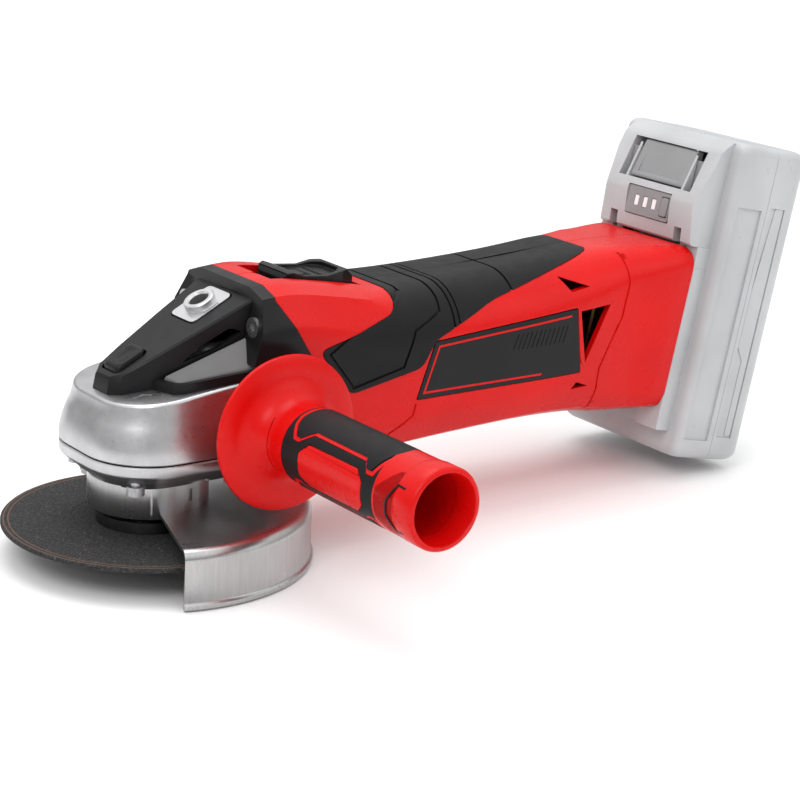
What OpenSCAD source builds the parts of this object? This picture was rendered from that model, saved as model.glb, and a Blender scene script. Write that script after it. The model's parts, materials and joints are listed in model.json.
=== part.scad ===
// Cordless angle grinder, 115 mm.
// Origin: centre of the spindle's free end face. +Z runs up the spindle, +X from the head to
// the battery pack, and the side handle points along -Y. Millimetres.

/* [Spindle and disc] */
// Diameter of the cutting disc
disc_d = 115; // [105:1:125]
// Thickness of the cutting disc
disc_t = 2; // [1:0.1:3]
// Bore of the cutting disc
disc_bore_d = 22.23; // [20:0.01:22.3]
// Diameter of the spindle thread
thread_d = 14; // [12:0.1:14]
// Length of spindle thread below the clamp nut
free_thread = 3.6; // [2:0.1:6]
// Height of the clamp nut
nut_h = 7.4; // [5:0.1:9]
// Diameter of the clamp nut and of the inner flange
flange_d = 41; // [38:0.5:42]
// Height of the inner flange
flange_h = 4.5; // [3:0.1:6]
// Circle of the clamp nut's spanner holes
spanner_pcd = 30; // [28:0.5:31]
// Diameter of the clamp nut's spanner holes
spanner_hole_d = 5; // [4:0.1:5.5]

/* [Guard] */
// Gap between the disc and the guard's wall
guard_gap = 5.9; // [4:0.1:8]
// Thickness of the guard's sheet
guard_t = 1.6; // [1.2:0.1:2]
// Depth of the guard below its top plate
guard_depth = 23.3; // [21:0.1:24]
// Angle that the guard covers
guard_cover = 180; // [150:1:190]
// Angle of the guard's leading edge
guard_start = -108; // [-120:1:-100]
// Height of the guard's collar
collar_h = 11; // [9:0.5:12]
// Angle of the collar's clamp screw
clamp_at = 100; // [95:1:110]

/* [Gear head] */
// Outer diameter of the bearing flange's neck
neck_d = 45; // [42:0.5:46]
// Height of the neck
neck_h = 14; // [13.5:0.1:16]
// Height of the bearing flange above the neck
flange_plate_h = 11.5; // [11:0.1:14]
// Thickness of the gasket between bearing flange and gear housing
gasket_t = 0.5; // [0.3:0.1:1]
// Width of the gear housing
head_w = 68; // [66:0.5:72]
// Distance from the spindle axis to the nose
nose_l = 32; // [30:0.5:36]
// Distance from the spindle axis to the rear face of the gear housing
head_l = 42; // [41:0.5:46]
// Height of the motor axis above the bearing flange
motor_rise = 20.5; // [20:0.1:22]
// Number of teeth on the pinion
pinion_teeth = 11; // [11:1:11]
// Number of teeth on the crown gear
crown_teeth = 37; // [35:1:39]
// Outer pitch radius of the crown gear
crown_r = 23.5; // [22:0.1:24]
// Width of the teeth
face_w = 7; // [6:0.1:7.5]
// Play at each tooth flank
backlash = 0.12; // [0.1:0.01:0.2]
// Radius of the circle of lock holes in the crown gear
lock_r = 12; // [11.8:0.1:12.2]
// Diameter of the lock pin
lock_pin_d = 5; // [4:0.1:5]
// Travel of the lock button
lock_travel = 4; // [3:0.1:4]
// Rise of the ramp deck for each millimetre towards the body
deck_slope = 0.52; // [0.48:0.01:0.54]

/* [Side handle] */
// Distance of the handle axis behind the spindle axis
handle_x = 32.2; // [31:0.1:33]
// Height of the handle axis above the bearing flange
handle_rise = 11.4; // [11:0.1:13]
// Length of the handle from its washer to its end
handle_l = 113; // [95:1:135]
// Diameter of the finger guard dish
dish_d = 62; // [56:1:62]
// Distance from the washer to the dish
dish_at = 12.5; // [10:0.5:14]
// Diameter of the handle's open end
handle_end_d = 31.5; // [30:0.5:34]
// Diameter of the handle's tube
handle_tube_d = 27.6; // [26:0.1:29]
// Diameter of the opening at the handle's end
handle_bore_d = 26.6; // [24:0.1:27]
// Diameter of the handle thread
stud_d = 8; // [8:0.1:8]
// Depth of the handle sockets
socket_depth = 14; // [10:0.5:14]

/* [Motor] */
// Diameter of the motor can
can_d = 46; // [44:0.5:50]
// Length of the motor can
can_l = 41; // [38:1:42]
// Diameter of the armature
armature_d = 26.4; // [24:0.1:28]
// Diameter of the fan
fan_d = 52; // [46:1:54]
// Distance from the gear housing's rear face to the fan
fan_gap = 5; // [5:0.5:6]

/* [Body] */
// Length of the body from the adapter frame to the foot
body_l = 197.3; // [185:1:240]
// Width of the body
body_w = 68; // [66:0.5:74]
// Wall of the housing
wall = 3; // [2.5:0.1:3.5]
// Thickness of the adapter frame
frame_t = 4; // [3:0.5:5]
// Depth of the rubber grip in the housing wall
grip_t = 1.6; // [1:0.1:1.8]
// Depth of the side plates in the housing wall
plate_t = 1.2; // [0.8:0.1:1.5]
// Travel of the switch slider
switch_travel = 7; // [5:0.5:7]
// Width of the switch slider
slider_w = 24; // [20:0.5:26]
// Height of the foot that carries the battery pack
foot_h = 74.5; // [72:0.5:80]
// Lean of the foot's face from upright, in degrees
foot_tilt = 11.2; // [8:0.1:12]

/* [Battery pack] */
// Width of the pack
pack_w = 78; // [77:0.5:84]
// Height of the pack
pack_h = 143; // [141:0.5:150]
// Depth of the pack's wide part
pack_d = 44; // [43.5:0.5:50]
// Wall of the pack's shells
pack_wall = 2.2; // [1.8:0.1:2.4]
// Diameter of a cell
cell_d = 18.4; // [18:0.1:18.5]
// Length of a cell
cell_l = 65; // [60:0.5:66]
// Travel of the pack's latch
latch_travel = 4; // [3:0.1:4]
// Travel of the gauge button
gauge_travel = 1; // [0.5:0.1:1]

/* [Fits] */
// Radial clearance of running fits
run_gap = 0.05; // [0.03:0.01:0.08]
// Gap between pieces that slide or turn past each other
free_gap = 0.3; // [0.2:0.05:0.4]

/* [Hidden] */
$fn = 64;

RED = "#e01010";
BLACK = "#222326";
SILVER = "#b9babd";
STEEL = "#8d9096";
DARK_GREY = "#4b4c50";
PALE = "#d4d6d8";
COPPER = "#b56a35";
BRASS = "#c9a54a";
GREEN = "#2c6b45";

cut = 0.01;

// Heights of the spindle line
z_nut = free_thread;
z_disc = z_nut + nut_h;
z_flange = z_disc + disc_t;
z_shoulder = z_flange + flange_h;
neck_gap = 2.5;
z_neck = z_shoulder + neck_gap;
z_plate = z_neck + neck_h;
seam_z = z_plate + flange_plate_h;
motor_z = seam_z + motor_rise;

// Bearings: bore, outer diameter, width
LOWER_BEARING = [15, 35, 11];
UPPER_BEARING = [8, 12, 8];
FRONT_BEARING = [8, 22, 7];
REAR_BEARING = [7, 19, 6];
plate_floor = 3;
z_room = z_plate + plate_floor;
z_lower = z_room - LOWER_BEARING[2];
gear_seat_r = 6;
// Plain lead-in below the thread, free under the clamp nut
lead_in = z_nut - 0.2;
z_upper = motor_z - 5.5;
spindle_top = z_upper + UPPER_BEARING[2] - 0.5;

// Gears: both cones meet where the motor axis crosses the spindle axis
module_mm = 2*crown_r/crown_teeth;
cone = pinion_teeth/crown_teeth;
pinion_r = crown_r*cone;
shift = 0.35;
pressure = 20;
crown_add = (1 - shift)*module_mm;
crown_ded = (1.2 + shift)*module_mm;
pinion_add = 1.15*module_mm;
pinion_ded = (1.25 - shift)*module_mm;
pinion_thick = module_mm*(PI/2 + 2*shift*tan(pressure));
crown_thick = PI*module_mm - pinion_thick;
face_scale = (crown_r - face_w)/crown_r;
web_z = motor_z - 12;
hub_r = 8.8;
gear_room = crown_r + 2;
gear_room_z = motor_z - 2;

// Guard
guard_r = disc_d/2 + guard_gap + guard_t;
z_guard = z_neck + 2;
collar_r = neck_d/2 + 1.45;
collar_in = neck_d/2 + run_gap + 0.02;
collar_low = z_neck + 0.1;
shoulder_r = 4;
lip = 1;

// Head
head_corner = 26;
roof_z = motor_z + 4.5;
roof_slope = 0.12;
bulge_r = 14.5;
boss_wall = 2.5;
handle_z = seam_z + handle_rise;
flange_back = 31;
rear_flange = 6;
deck_x = 14;
deck_z = motor_z + 26.7;
deck_angle = atan(deck_slope);
cover_wall = 2.5;
adapter_x = 33;
cover_nose = nose_l - 10;
insert_x = 22.5;
insert_t = 3;
insert_l = 20.4;
insert_w = 17;
boss_deep = socket_depth - 2;

// Lock
lock_tip = web_z + 1.2;
spring_seat = motor_z;
button_z = motor_z + 8.5;
button_x0 = lock_r + 6;
button_x1 = lock_r - 6.5;
button_w = 11;

// Motor line
frame_x = head_l;
body_x = head_l + frame_t;
front_bearing_x = head_l - 13;
fan_x = head_l + fan_gap;
fan_l = 10;
can_x = fan_x + fan_l + 3;
can_end = can_x + can_l;
core_x = can_x + 5;
core_l = can_l - 10;
comm_x = can_end + 3;
comm_l = 13;
comm_r = 8.5;
rear_bearing_x = comm_x + comm_l + 3;
shaft_end = rear_bearing_x + REAR_BEARING[2];
shaft_r = FRONT_BEARING[0]/2;
tip_r = 2.5;

// Body: stations of the skin, each [x, half width, top, bottom, top radius, bottom radius]
half_w = body_w/2;
foot_x = body_x + body_l;
foot_z = motor_z - 35.2;
grip_x = body_x + 52;
tail_l = foot_x - 21 - grip_x;
STATIONS = [
    [body_x, half_w, motor_z + 42, motor_z - 35, 15, 14],
    [body_x + 24, half_w, motor_z + 38.5, motor_z - 34.5, 16, 14],
    [grip_x, half_w - 0.5, motor_z + 33.5, motor_z - 34, 20, 12],
    [grip_x + 0.26*tail_l, half_w - 1, motor_z + 34.4, motor_z - 33, 22, 10],
    [grip_x + 0.6*tail_l, half_w - 1, motor_z + 36.4, motor_z - 31.5, 22, 9],
    [grip_x + 0.86*tail_l, half_w - 1.5, motor_z + 39, motor_z - 32, 20, 9],
    [foot_x - 21, half_w - 1.5, motor_z + 39.5, motor_z - 34, 14, 9]];
foot_w = half_w - 1.2;
FOOT = [0, foot_w, foot_h, 0, 9, 9];

rib_t = 2.5;
rod_z = motor_z + can_d/2 + 3;
rod_end = grip_x + 38;
slider_x = body_x + 8;
slider_l = 36;
stem_x = slider_x + 8;
stem_l = 7;
stem_w = 8;
switch_x = rod_end + 1.5;
module_l = 24;
board_x = switch_x + module_l + 5;
board_l = foot_x - 38 - board_x;

// Pack, in the foot's own frame: x away from the foot's face, z up along it
pack_n = 8;
pack_s = -19;
pack_top = pack_s + pack_h;
pack_split = pack_n + pack_d/2;
pack_half = pack_w/2;
pack_corner = 9;
dock_w = 32;
dock_s0 = -8;
dock_s1 = foot_h - 8.5;
head_s = foot_h + 0.8;
rail_w = 18;
rail_flange = 22;
rail_s0 = 12;
rail_s1 = dock_s1 - 8;
rail_n = 3;
cell_n = pack_n + pack_wall + 0.7 + cell_d/2;
cell_pitch = cell_d + 0.6;
cell_s = -3.7 + cell_d/2;
latch_s0 = 98.5;
latch_s1 = 116;
latch_w = 34;
arm_y = 21;
arm_w = 4;

// Frame of the foot's rear face
module on_foot() translate([foot_x, 0, foot_z]) rotate([0, foot_tilt, 0]) children();
// Frame of the motor axis at a distance behind the spindle axis, local z towards the body
module at_x(x) translate([x, 0, motor_z]) rotate([0, 90, 0]) children();
// Frame of the side handle, local z away from the head
module on_handle() translate([handle_x, -head_w/2, handle_z]) rotate([90, 0, 0]) children();
// Frame of the ramp deck at a distance behind the spindle axis, local z out of the deck
module on_deck(x) translate([x, 0, deck_z + deck_slope*(x - deck_x)])
    rotate([0, -deck_angle, 0]) children();
module mirrored() {
    children();
    mirror([0, 1, 0]) children();
}
module box(x0, x1, y0, y1, z0, z1) translate([x0, y0, z0]) cube([x1 - x0, y1 - y0, z1 - z0]);
// Straight prism across the tool, from an outline in x and z
module side_prism(outline, y0, y1) translate([0, y1, 0]) rotate([90, 0, 0])
    linear_extrude(y1 - y0) polygon(outline);
module tube(r_out, r_in, h) difference() {
    cylinder(r = r_out, h = h);
    translate([0, 0, -1]) cylinder(r = r_in, h = h + 2);
}
// Socket-headed screw: head up, shank down from the origin
module screw(d, l, head_d, head_h) {
    difference() {
        cylinder(d = head_d, h = head_h);
        translate([0, 0, head_h/2]) cylinder(d = d*0.8, h = head_h, $fn = 6);
    }
    translate([0, 0, -l]) cylinder(d = d, h = l + cut);
}
// Ball bearing with two shield grooves in each face
module bearing(size) {
    r0 = size[0]/2 + run_gap;
    r1 = size[1]/2;
    groove = (r1 - r0)*0.25;
    difference() {
        tube(r1, r0, size[2]);
        for (z = [-0.5, size[2] - 0.5]) translate([0, 0, z])
            tube(r1 - groove, r0 + groove, 1);
    }
}

// Points of an arc
function arc(cx, cy, r, a0, a1, n) =
    [for (i = [0:n]) let (a = a0 + (a1 - a0)*i/n) [cx + r*cos(a), cy + r*sin(a)]];
// Rectangle with a radius at each corner, counter-clockwise from the low right corner
function round_rect(x0, x1, y0, y1, lr, ur, ul, ll, n = 5) = concat(
    arc(x1 - lr, y0 + lr, lr, -90, 0, n), arc(x1 - ur, y1 - ur, ur, 0, 90, n),
    arc(x0 + ul, y1 - ul, ul, 90, 180, n), arc(x0 + ll, y0 + ll, ll, 180, 270, n));
// Cross-section of the body, drawn in by a distance
function section(s, inset) = let (w = s[1] - inset, t = max(s[4] - inset, 1), b = max(s[5] - inset, 1))
    round_rect(-w, w, s[3] + inset, s[2] - inset, b, t, t, b);
function ring_at(s, x, inset) = [for (p = section(s, inset)) [x, p[0], p[1]]];
// The foot's section, leaning with its face, at a distance along the face's normal
function foot_ring(n, inset) = [for (p = section(FOOT, inset))
    [foot_x + n*cos(foot_tilt) + p[1]*sin(foot_tilt), p[0],
     foot_z - n*sin(foot_tilt) + p[1]*cos(foot_tilt)]];
// Closed skin over rings of equal length, counter-clockwise seen from the last ring
module skin(rings) {
    n = len(rings[0]);
    last = (len(rings) - 1)*n;
    polyhedron(
        points = [for (r = rings) each r],
        faces = concat(
            [[for (i = [0:n - 1]) i]],
            [for (k = [0:len(rings) - 2], i = [0:n - 1]) let (j = (i + 1) % n)
                [k*n + i, (k + 1)*n + i, (k + 1)*n + j, k*n + j]],
            [[for (i = [n - 1:-1:0]) last + i]]),
        convexity = 6);
}
// Whole body from the adapter frame to the foot's face, drawn in by a distance
module body_form(inset, front = 0, back = 0) skin(concat(
    [ring_at(STATIONS[0], STATIONS[0][0] + front, inset)],
    [for (i = [1:len(STATIONS) - 1]) ring_at(STATIONS[i], STATIONS[i][0], inset)],
    [foot_ring(-back, inset)]));

// ---- Spindle line ----
module spindle() color(STEEL) difference() {
    union() {
        cylinder(d = thread_d - 2, h = lead_in);
        translate([0, 0, lead_in]) cylinder(d = thread_d, h = z_shoulder - lead_in);
        translate([0, 0, z_shoulder]) cylinder(r = LOWER_BEARING[0]/2 + 1.5,
            h = z_lower - z_shoulder);
        translate([0, 0, z_lower]) cylinder(d = LOWER_BEARING[0], h = LOWER_BEARING[2]);
        translate([0, 0, z_room]) cylinder(r = gear_seat_r, h = web_z + 3 - z_room);
        translate([0, 0, web_z + 3]) cylinder(d = UPPER_BEARING[0],
            h = spindle_top - web_z - 3);
    }
    key_form();
}
module key_form() box(gear_seat_r - 1.5, gear_seat_r + 1.2, -1.5, 1.5, z_room + 2, z_room + 12);
module gear_key() color(STEEL) key_form();

// One crown tooth: an outline in y and z at the outer radius, shrunk towards the cones' tip
function tooth_ring(r) = let (k = r/crown_r, z0 = motor_z - k*crown_r*cone,
    top = crown_add, base = -crown_ded - 0.4,
    half = crown_thick/2 - backlash, lean = tan(pressure))
    [for (p = [[-(half - base*lean), base], [half - base*lean, base],
        [half - top*lean, top], [-(half - top*lean), top]]) [r, k*p[0], z0 + k*p[1]]];
module crown_gear() color(STEEL) {
    root = function (r) motor_z - r*cone - crown_ded*r/crown_r;
    r_in = crown_r - face_w;
    difference() {
        union() {
            rotate_extrude() polygon([[gear_seat_r, z_room + 0.3], [hub_r, z_room + 0.3],
                [hub_r, web_z - 8], [crown_r + 0.3, web_z - 5],
                [crown_r + 0.3, root(crown_r + 0.3)], [r_in - 0.3, root(r_in - 0.3)],
                [r_in - 1, web_z], [hub_r, web_z], [hub_r, web_z + 3],
                [gear_seat_r, web_z + 3]]);
            for (i = [0:crown_teeth - 1]) rotate([0, 0, 360*i/crown_teeth])
                skin([tooth_ring(r_in), tooth_ring(crown_r)]);
        }
        for (i = [0:3]) rotate([0, 0, 90*i]) translate([-lock_r, 0, web_z - 12])
            cylinder(d = lock_pin_d + 0.4, h = 14);
        key_form();
    }
}
module inner_flange() color(BLACK) difference() {
    union() {
        translate([0, 0, z_flange]) cylinder(d = flange_d, h = flange_h);
        translate([0, 0, z_flange - disc_t*0.8]) cylinder(r = disc_bore_d/2 - run_gap,
            h = disc_t*0.8 + cut);
    }
    translate([0, 0, z_disc - 1]) cylinder(d = thread_d, h = disc_t + flange_h + 2);
    translate([0, 0, z_shoulder - 1.2]) tube(flange_d/2 - 3, flange_d/2 - 5, 2);
}
module cutting_disc() color(BLACK) translate([0, 0, z_disc])
    tube(disc_d/2, disc_bore_d/2, disc_t);
module clamp_nut() color(STEEL) difference() {
    union() {
        translate([0, 0, z_nut]) cylinder(r = flange_d/2 - 1.5, h = nut_h);
        translate([0, 0, z_nut + 2]) cylinder(d = flange_d, h = nut_h - 2);
    }
    translate([0, 0, z_nut - 1]) cylinder(d = thread_d, h = nut_h + 2);
    for (i = [0:3]) rotate([0, 0, 45 + 90*i]) translate([spanner_pcd/2, 0, z_nut - 1])
        cylinder(d = spanner_hole_d, h = 5);
}

// ---- Guard ----
module clamp_frame() rotate([0, 0, clamp_at]) children();
// Half section of the guard's sheet, from the collar over the shoulder to the rim
guard_low = z_guard - guard_depth;
rim_h = 1.6;
function guard_section() = let (cx = guard_r - shoulder_r, cz = z_guard - shoulder_r) concat(
    [[collar_in + 0.5, z_guard - guard_t]],
    [[guard_r - guard_t, guard_low], [guard_r + lip, guard_low], [guard_r + lip, guard_low + rim_h],
     [guard_r, guard_low + rim_h + 0.6]],
    arc(cx, cz, shoulder_r, 0, 90, 6), [[collar_in + 0.5, z_guard]]);
function guard_hollow() = let (cx = guard_r - shoulder_r, cz = z_guard - shoulder_r,
    r = shoulder_r - guard_t) concat([[collar_in - 5, z_guard - guard_t], [collar_in - 5, guard_low - 5],
    [guard_r - guard_t, guard_low - 5]], arc(cx, cz, r, 0, 90, 6));
module guard() color(SILVER) difference() {
    union() {
        rotate([0, 0, guard_start]) rotate_extrude(angle = guard_cover) difference() {
            polygon(guard_section());
            polygon(guard_hollow());
        }
        translate([0, 0, collar_low]) tube(collar_r, collar_in, z_guard + collar_h + 0.5 - collar_low);
        clamp_frame() box(collar_in + 0.7, collar_r + 9, -5, 5, z_guard + 2, z_guard + 10);
    }
    clamp_frame() {
        box(collar_in - 1, collar_r + 10, -1, 1, z_guard + 0.5, z_guard + 20);
        translate([collar_r + 5, 10, z_guard + 6]) rotate([90, 0, 0]) cylinder(d = 4, h = 20);
    }
    // Seam of the rolled collar
    rotate([0, 0, guard_start - 9]) box(collar_r - 0.4, collar_r + 1, -0.3, 0.3,
        z_guard + 0.4, z_guard + 20);
}
module guard_clamp_screw() color(STEEL) clamp_frame()
    translate([collar_r + 5, -5, z_guard + 6]) rotate([90, 0, 0]) {
        screw(4, 14, 7, 3.5);
        translate([0, 0, -13.5]) difference() {
            cylinder(d = 7.6, h = 3.2, $fn = 6);
            translate([0, 0, -1]) cylinder(d = 4, h = 6);
        }
    }

// ---- Gear head ----
// Outline of the head at a height, drawn in at the nose and at the sides
function head_outline(nose_in, side_in, back) = let (w = head_w/2 - side_in,
    r = head_corner - side_in)
    round_rect(-nose_l + nose_in, back, -w, w, 0.6, 0.6, r, r, 7);
function head_ring(nose_in, side_in, back, z, slope = 0) =
    [for (p = head_outline(nose_in, side_in, back)) [p[0], p[1], z + slope*p[0]]];
FLANGE_SCREWS = [[-19, 23], [22, 27]];
module each_flange_screw() mirrored() for (p = FLANGE_SCREWS) translate([p[0], p[1], 0])
    children();
module bearing_flange() color(SILVER) difference() {
    union() {
        translate([0, 0, z_neck]) cylinder(d = neck_d, h = neck_h + 1);
        skin([head_ring(7, 7, flange_back - 4, z_plate), head_ring(3, 4, flange_back, z_plate + 4),
            head_ring(0.3, 0.3, flange_back, seam_z - gasket_t)]);
    }
    translate([0, 0, z_neck - 1]) cylinder(r = LOWER_BEARING[0]/2 + 2.2, h = 10);
    translate([0, 0, z_lower]) cylinder(d = LOWER_BEARING[1], h = LOWER_BEARING[2] + 1);
    translate([0, 0, z_room]) cylinder(r = gear_room - 1, h = 20);
    each_flange_screw() {
        translate([0, 0, z_plate - 1]) cylinder(d = 4, h = 20);
        translate([0, 0, z_plate - 4]) cylinder(d = 7.4, h = 6);
    }
    for (a = [-150, -75, 30, 105]) rotate([0, 0, a])
        box(neck_d/2 - 0.8, neck_d/2 + 1, -4, 4, z_plate - 1.2, z_plate);
}
module flange_gasket() color(BLACK) difference() {
    skin([head_ring(0.8, 0.8, flange_back - 0.5, seam_z - gasket_t),
        head_ring(0.8, 0.8, flange_back - 0.5, seam_z)]);
    translate([0, 0, seam_z - 2]) cylinder(r = gear_room, h = 4);
    each_flange_screw() translate([0, 0, seam_z - 2]) cylinder(d = 4, h = 4);
}
module flange_screws() color(STEEL) each_flange_screw() translate([0, 0, z_plate + 2])
    rotate([180, 0, 0]) screw(4, seam_z + 6 - z_plate - 2, 7, 3.5);
module bearing_retainer() color(STEEL) translate([0, 0, z_room])
    tube(gear_room - 1.2, hub_r + 0.8, 1.6);
module lower_bearing() color(STEEL) translate([0, 0, z_lower]) bearing(LOWER_BEARING);
module upper_bearing() color(STEEL) translate([0, 0, z_upper]) bearing(UPPER_BEARING);
ADAPTER_SCREWS = [[25, motor_z + 27, adapter_x], [26, motor_z - 26, head_l - rear_flange]];
module each_adapter_screw() mirrored() for (p = ADAPTER_SCREWS)
    translate([p[2], p[0], p[1]]) rotate([0, 90, 0]) children();
module socket_bores() mirrored() translate([handle_x, head_w/2 + 1, handle_z])
    rotate([90, 0, 0]) cylinder(d = stud_d, h = socket_depth + 1);
module gear_housing() color(SILVER) difference() {
    union() {
        skin([head_ring(0, 0, head_l, seam_z), head_ring(0.4, 0.2, head_l, seam_z + 13),
            head_ring(3.5, 1.6, head_l, seam_z + 20), head_ring(7, 4.2, head_l, roof_z - 1, roof_slope),
            head_ring(9, 6.5, head_l, roof_z, roof_slope)]);
        at_x(5) cylinder(r = bulge_r, h = head_l - 5);
        skin([for (x = [head_l - rear_flange, head_l]) [for (p = round_rect(-half_w + 0.5, half_w - 0.5,
            motor_z - 33, motor_z + 9, 12, 2, 2, 12)) [x, p[0], p[1]]]]);
    }
    difference() {
        translate([0, 0, seam_z - 1]) cylinder(r = gear_room, h = gear_room_z - seam_z + 1);
        translate([0, 0, z_upper]) cylinder(r = UPPER_BEARING[1]/2 + boss_wall, h = 20);
    }
    translate([0, 0, z_upper - 1]) cylinder(d = UPPER_BEARING[1], h = UPPER_BEARING[2] + 1);
    at_x(11) cylinder(r = pinion_r + pinion_add + 0.8, h = 20);
    at_x(front_bearing_x) cylinder(d = FRONT_BEARING[1], h = 30);
    translate([-lock_r, 0, 0]) {
        translate([0, 0, gear_room_z - 1]) cylinder(r = lock_pin_d/2 + run_gap, h = 20);
        translate([0, 0, spring_seat]) cylinder(r = 4.3, h = 20);
    }
    each_flange_screw() translate([0, 0, seam_z - 1]) cylinder(d = 4, h = 8);
    each_adapter_screw() translate([0, 0, -1]) cylinder(d = 5, h = 12);
    socket_bores();
}
// Points of the ramp cover: nose, knee and rear, as [x, half width, z]
function roof(x) = roof_z + roof_slope*x;
function deck(x) = deck_z + deck_slope*(x - deck_x);
knee_x = -8;
function ramp_loop(pts, back) = [for (p = concat([for (p = pts) [p[0], -p[1], p[2]]],
    [for (i = [len(pts) - 1:-1:0]) [pts[i][0], pts[i][1], pts[i][2]]])) p];
function ramp_low(t) = ramp_loop([[-cover_nose + t, 8 - t, roof(-cover_nose)],
    [knee_x, 13 - t, roof(knee_x)], [adapter_x, 21 - t, roof(adapter_x)]]);
function ramp_high(t) = ramp_loop([[-cover_nose + 2.5 + t, 7 - t, deck(-cover_nose + 2.5 + t) - t],
    [knee_x, 12 - t, deck(knee_x) - t], [adapter_x, 20 - t, deck(adapter_x) - t]]);
wing_h = 4;
wing_rim = 1.3;
WING = [[-5.5, -12.5], [-3.5, -23.5], [29, -30.5], [adapter_x, -30.5], [adapter_x, -18]];
WING_IN = [[-5.5 + wing_rim, -12], [-3.5 + wing_rim, -23.5 + wing_rim], [29, -30.5 + wing_rim],
    [adapter_x + 1, -30.5 + wing_rim], [adapter_x + 1, -17]];
// Slab that stands on the sloping roof of the gear housing
module on_roof(outline, rise, low = 0) skin([
    [for (p = outline) [p[0], p[1], roof(p[0]) + low]],
    [for (p = outline) [p[0], p[1], roof(p[0]) + rise]]]);
module bulge_room() at_x(4) cylinder(r = bulge_r + 0.2, h = head_l);
module top_cover() color(BLACK) difference() {
    union() {
        skin([ramp_low(0), ramp_high(0)]);
        mirrored() difference() {
            on_roof(WING, wing_h);
            on_roof(WING_IN, wing_h + 1, -1);
        }
    }
    difference() {
        skin([[for (p = ramp_low(cover_wall)) [p[0], p[1], p[2] - 1]], ramp_high(cover_wall)]);
        // Deck around the handle insert stays solid
        on_deck(insert_x) box(-insert_l/2 - 3, insert_l/2 + 3, -40, 40, -insert_t - 2, 5);
    }
    bulge_room();
    box(-button_x0 - free_gap, -button_x1 + free_gap, -button_w/2 - free_gap,
        button_w/2 + free_gap, motor_z, motor_z + 30);
    on_deck(insert_x) {
        box(-insert_l/2, insert_l/2, -insert_w/2, insert_w/2, -insert_t, 10);
        translate([0, 0, -boss_deep]) cylinder(r = stud_d/2 + 2.5, h = 20);
    }
    side_prism([[7, motor_z + 14.5], [13, motor_z + 19.5], [25, motor_z + 26.5],
        [28, motor_z + 24], [20, motor_z + 18]], -40, 40);
}
// Cheek between the ramp cover and its wing, as [x, y, height above the roof]
CHEEK = [[-3.8, 14.2, 6], [adapter_x, 21.4, 15], [adapter_x, 28.9, 5], [29, 28.9, 4], [-1.6, 21.7, 4]];
module air_guide() color(DARK_GREY) mirrored() hull() skin([
    [for (p = CHEEK) [p[0], p[1], roof(p[0])]],
    [for (p = CHEEK) [p[0], p[1], roof(p[0]) + p[2]]]]);
module handle_insert() color(SILVER) on_deck(insert_x) difference() {
    union() {
        box(-insert_l/2 + 0.1, insert_l/2 - 0.1, -insert_w/2 + 0.1, insert_w/2 - 0.1, -insert_t, 0.5);
        translate([0, 0, -boss_deep]) cylinder(r = stud_d/2 + 2.4, h = boss_deep + 2);
    }
    translate([0, 0, -boss_deep - 1]) cylinder(d = stud_d, h = socket_depth + 4);
}
module adapter_frame() color(BLACK) difference() {
    union() {
        skin([ring_at(STATIONS[0], frame_x, 0.4), ring_at(STATIONS[0], body_x, 0)]);
        intersection() {
            skin([ring_at(STATIONS[0], adapter_x, 3), ring_at(STATIONS[0], frame_x, 0.4)]);
            box(adapter_x, frame_x + cut, -60, 60, motor_z + 9.5, motor_z + 60);
        }
    }
    bulge_room();
    at_x(adapter_x - 1) cylinder(r = fan_d/2 - 3, h = 40);
    box(adapter_x + 3, frame_x, -17, 17, motor_z + 9.5, motor_z + 36);
    box(adapter_x - 1, adapter_x + 4, -14, 14, motor_z + 9.5, motor_z + 30);
    skin([for (x = [adapter_x, head_l]) [for (p = round_rect(-half_w + 0.4, half_w - 0.4,
        motor_z - 33, motor_z + 9.6, 12, 2, 2, 12)) [x, p[0], p[1]]]]);
    each_adapter_screw() {
        translate([0, 0, -5]) cylinder(d = 5, h = 30);
        translate([0, 0, -5]) cylinder(d = 9, h = 6);
    }
}
module adapter_screws() color(STEEL) each_adapter_screw()
    rotate([180, 0, 0]) screw(5, body_x + 12 - adapter_x, 8, 3);

// ---- Spindle lock ----
module lock_button() color(BLACK) difference() {
    side_prism([[-button_x0, button_z], [-button_x1, button_z],
        [-button_x1, deck(-button_x1) + 1.4], [-button_x1 - 1.5, deck(-button_x1) + 1.6],
        [-button_x0, deck(-button_x0) + 1]], -button_w/2, button_w/2);
    translate([-lock_r, 0, button_z - 1]) cylinder(d = lock_pin_d, h = 3);
}
module lock_pin() color(STEEL) translate([-lock_r, 0, lock_tip])
    cylinder(d = lock_pin_d, h = button_z + 2 - lock_tip);
spring_r = 3.5;
spring_wire = 0.5;
spring_turns = 5;
module lock_spring() color(STEEL) translate([-lock_r, 0, spring_seat])
    for (i = [0:spring_turns]) translate([0, 0, spring_wire + i*(button_z - spring_seat
        - 2*spring_wire)/spring_turns]) rotate_extrude() translate([spring_r, 0])
        circle(r = spring_wire);

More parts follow.
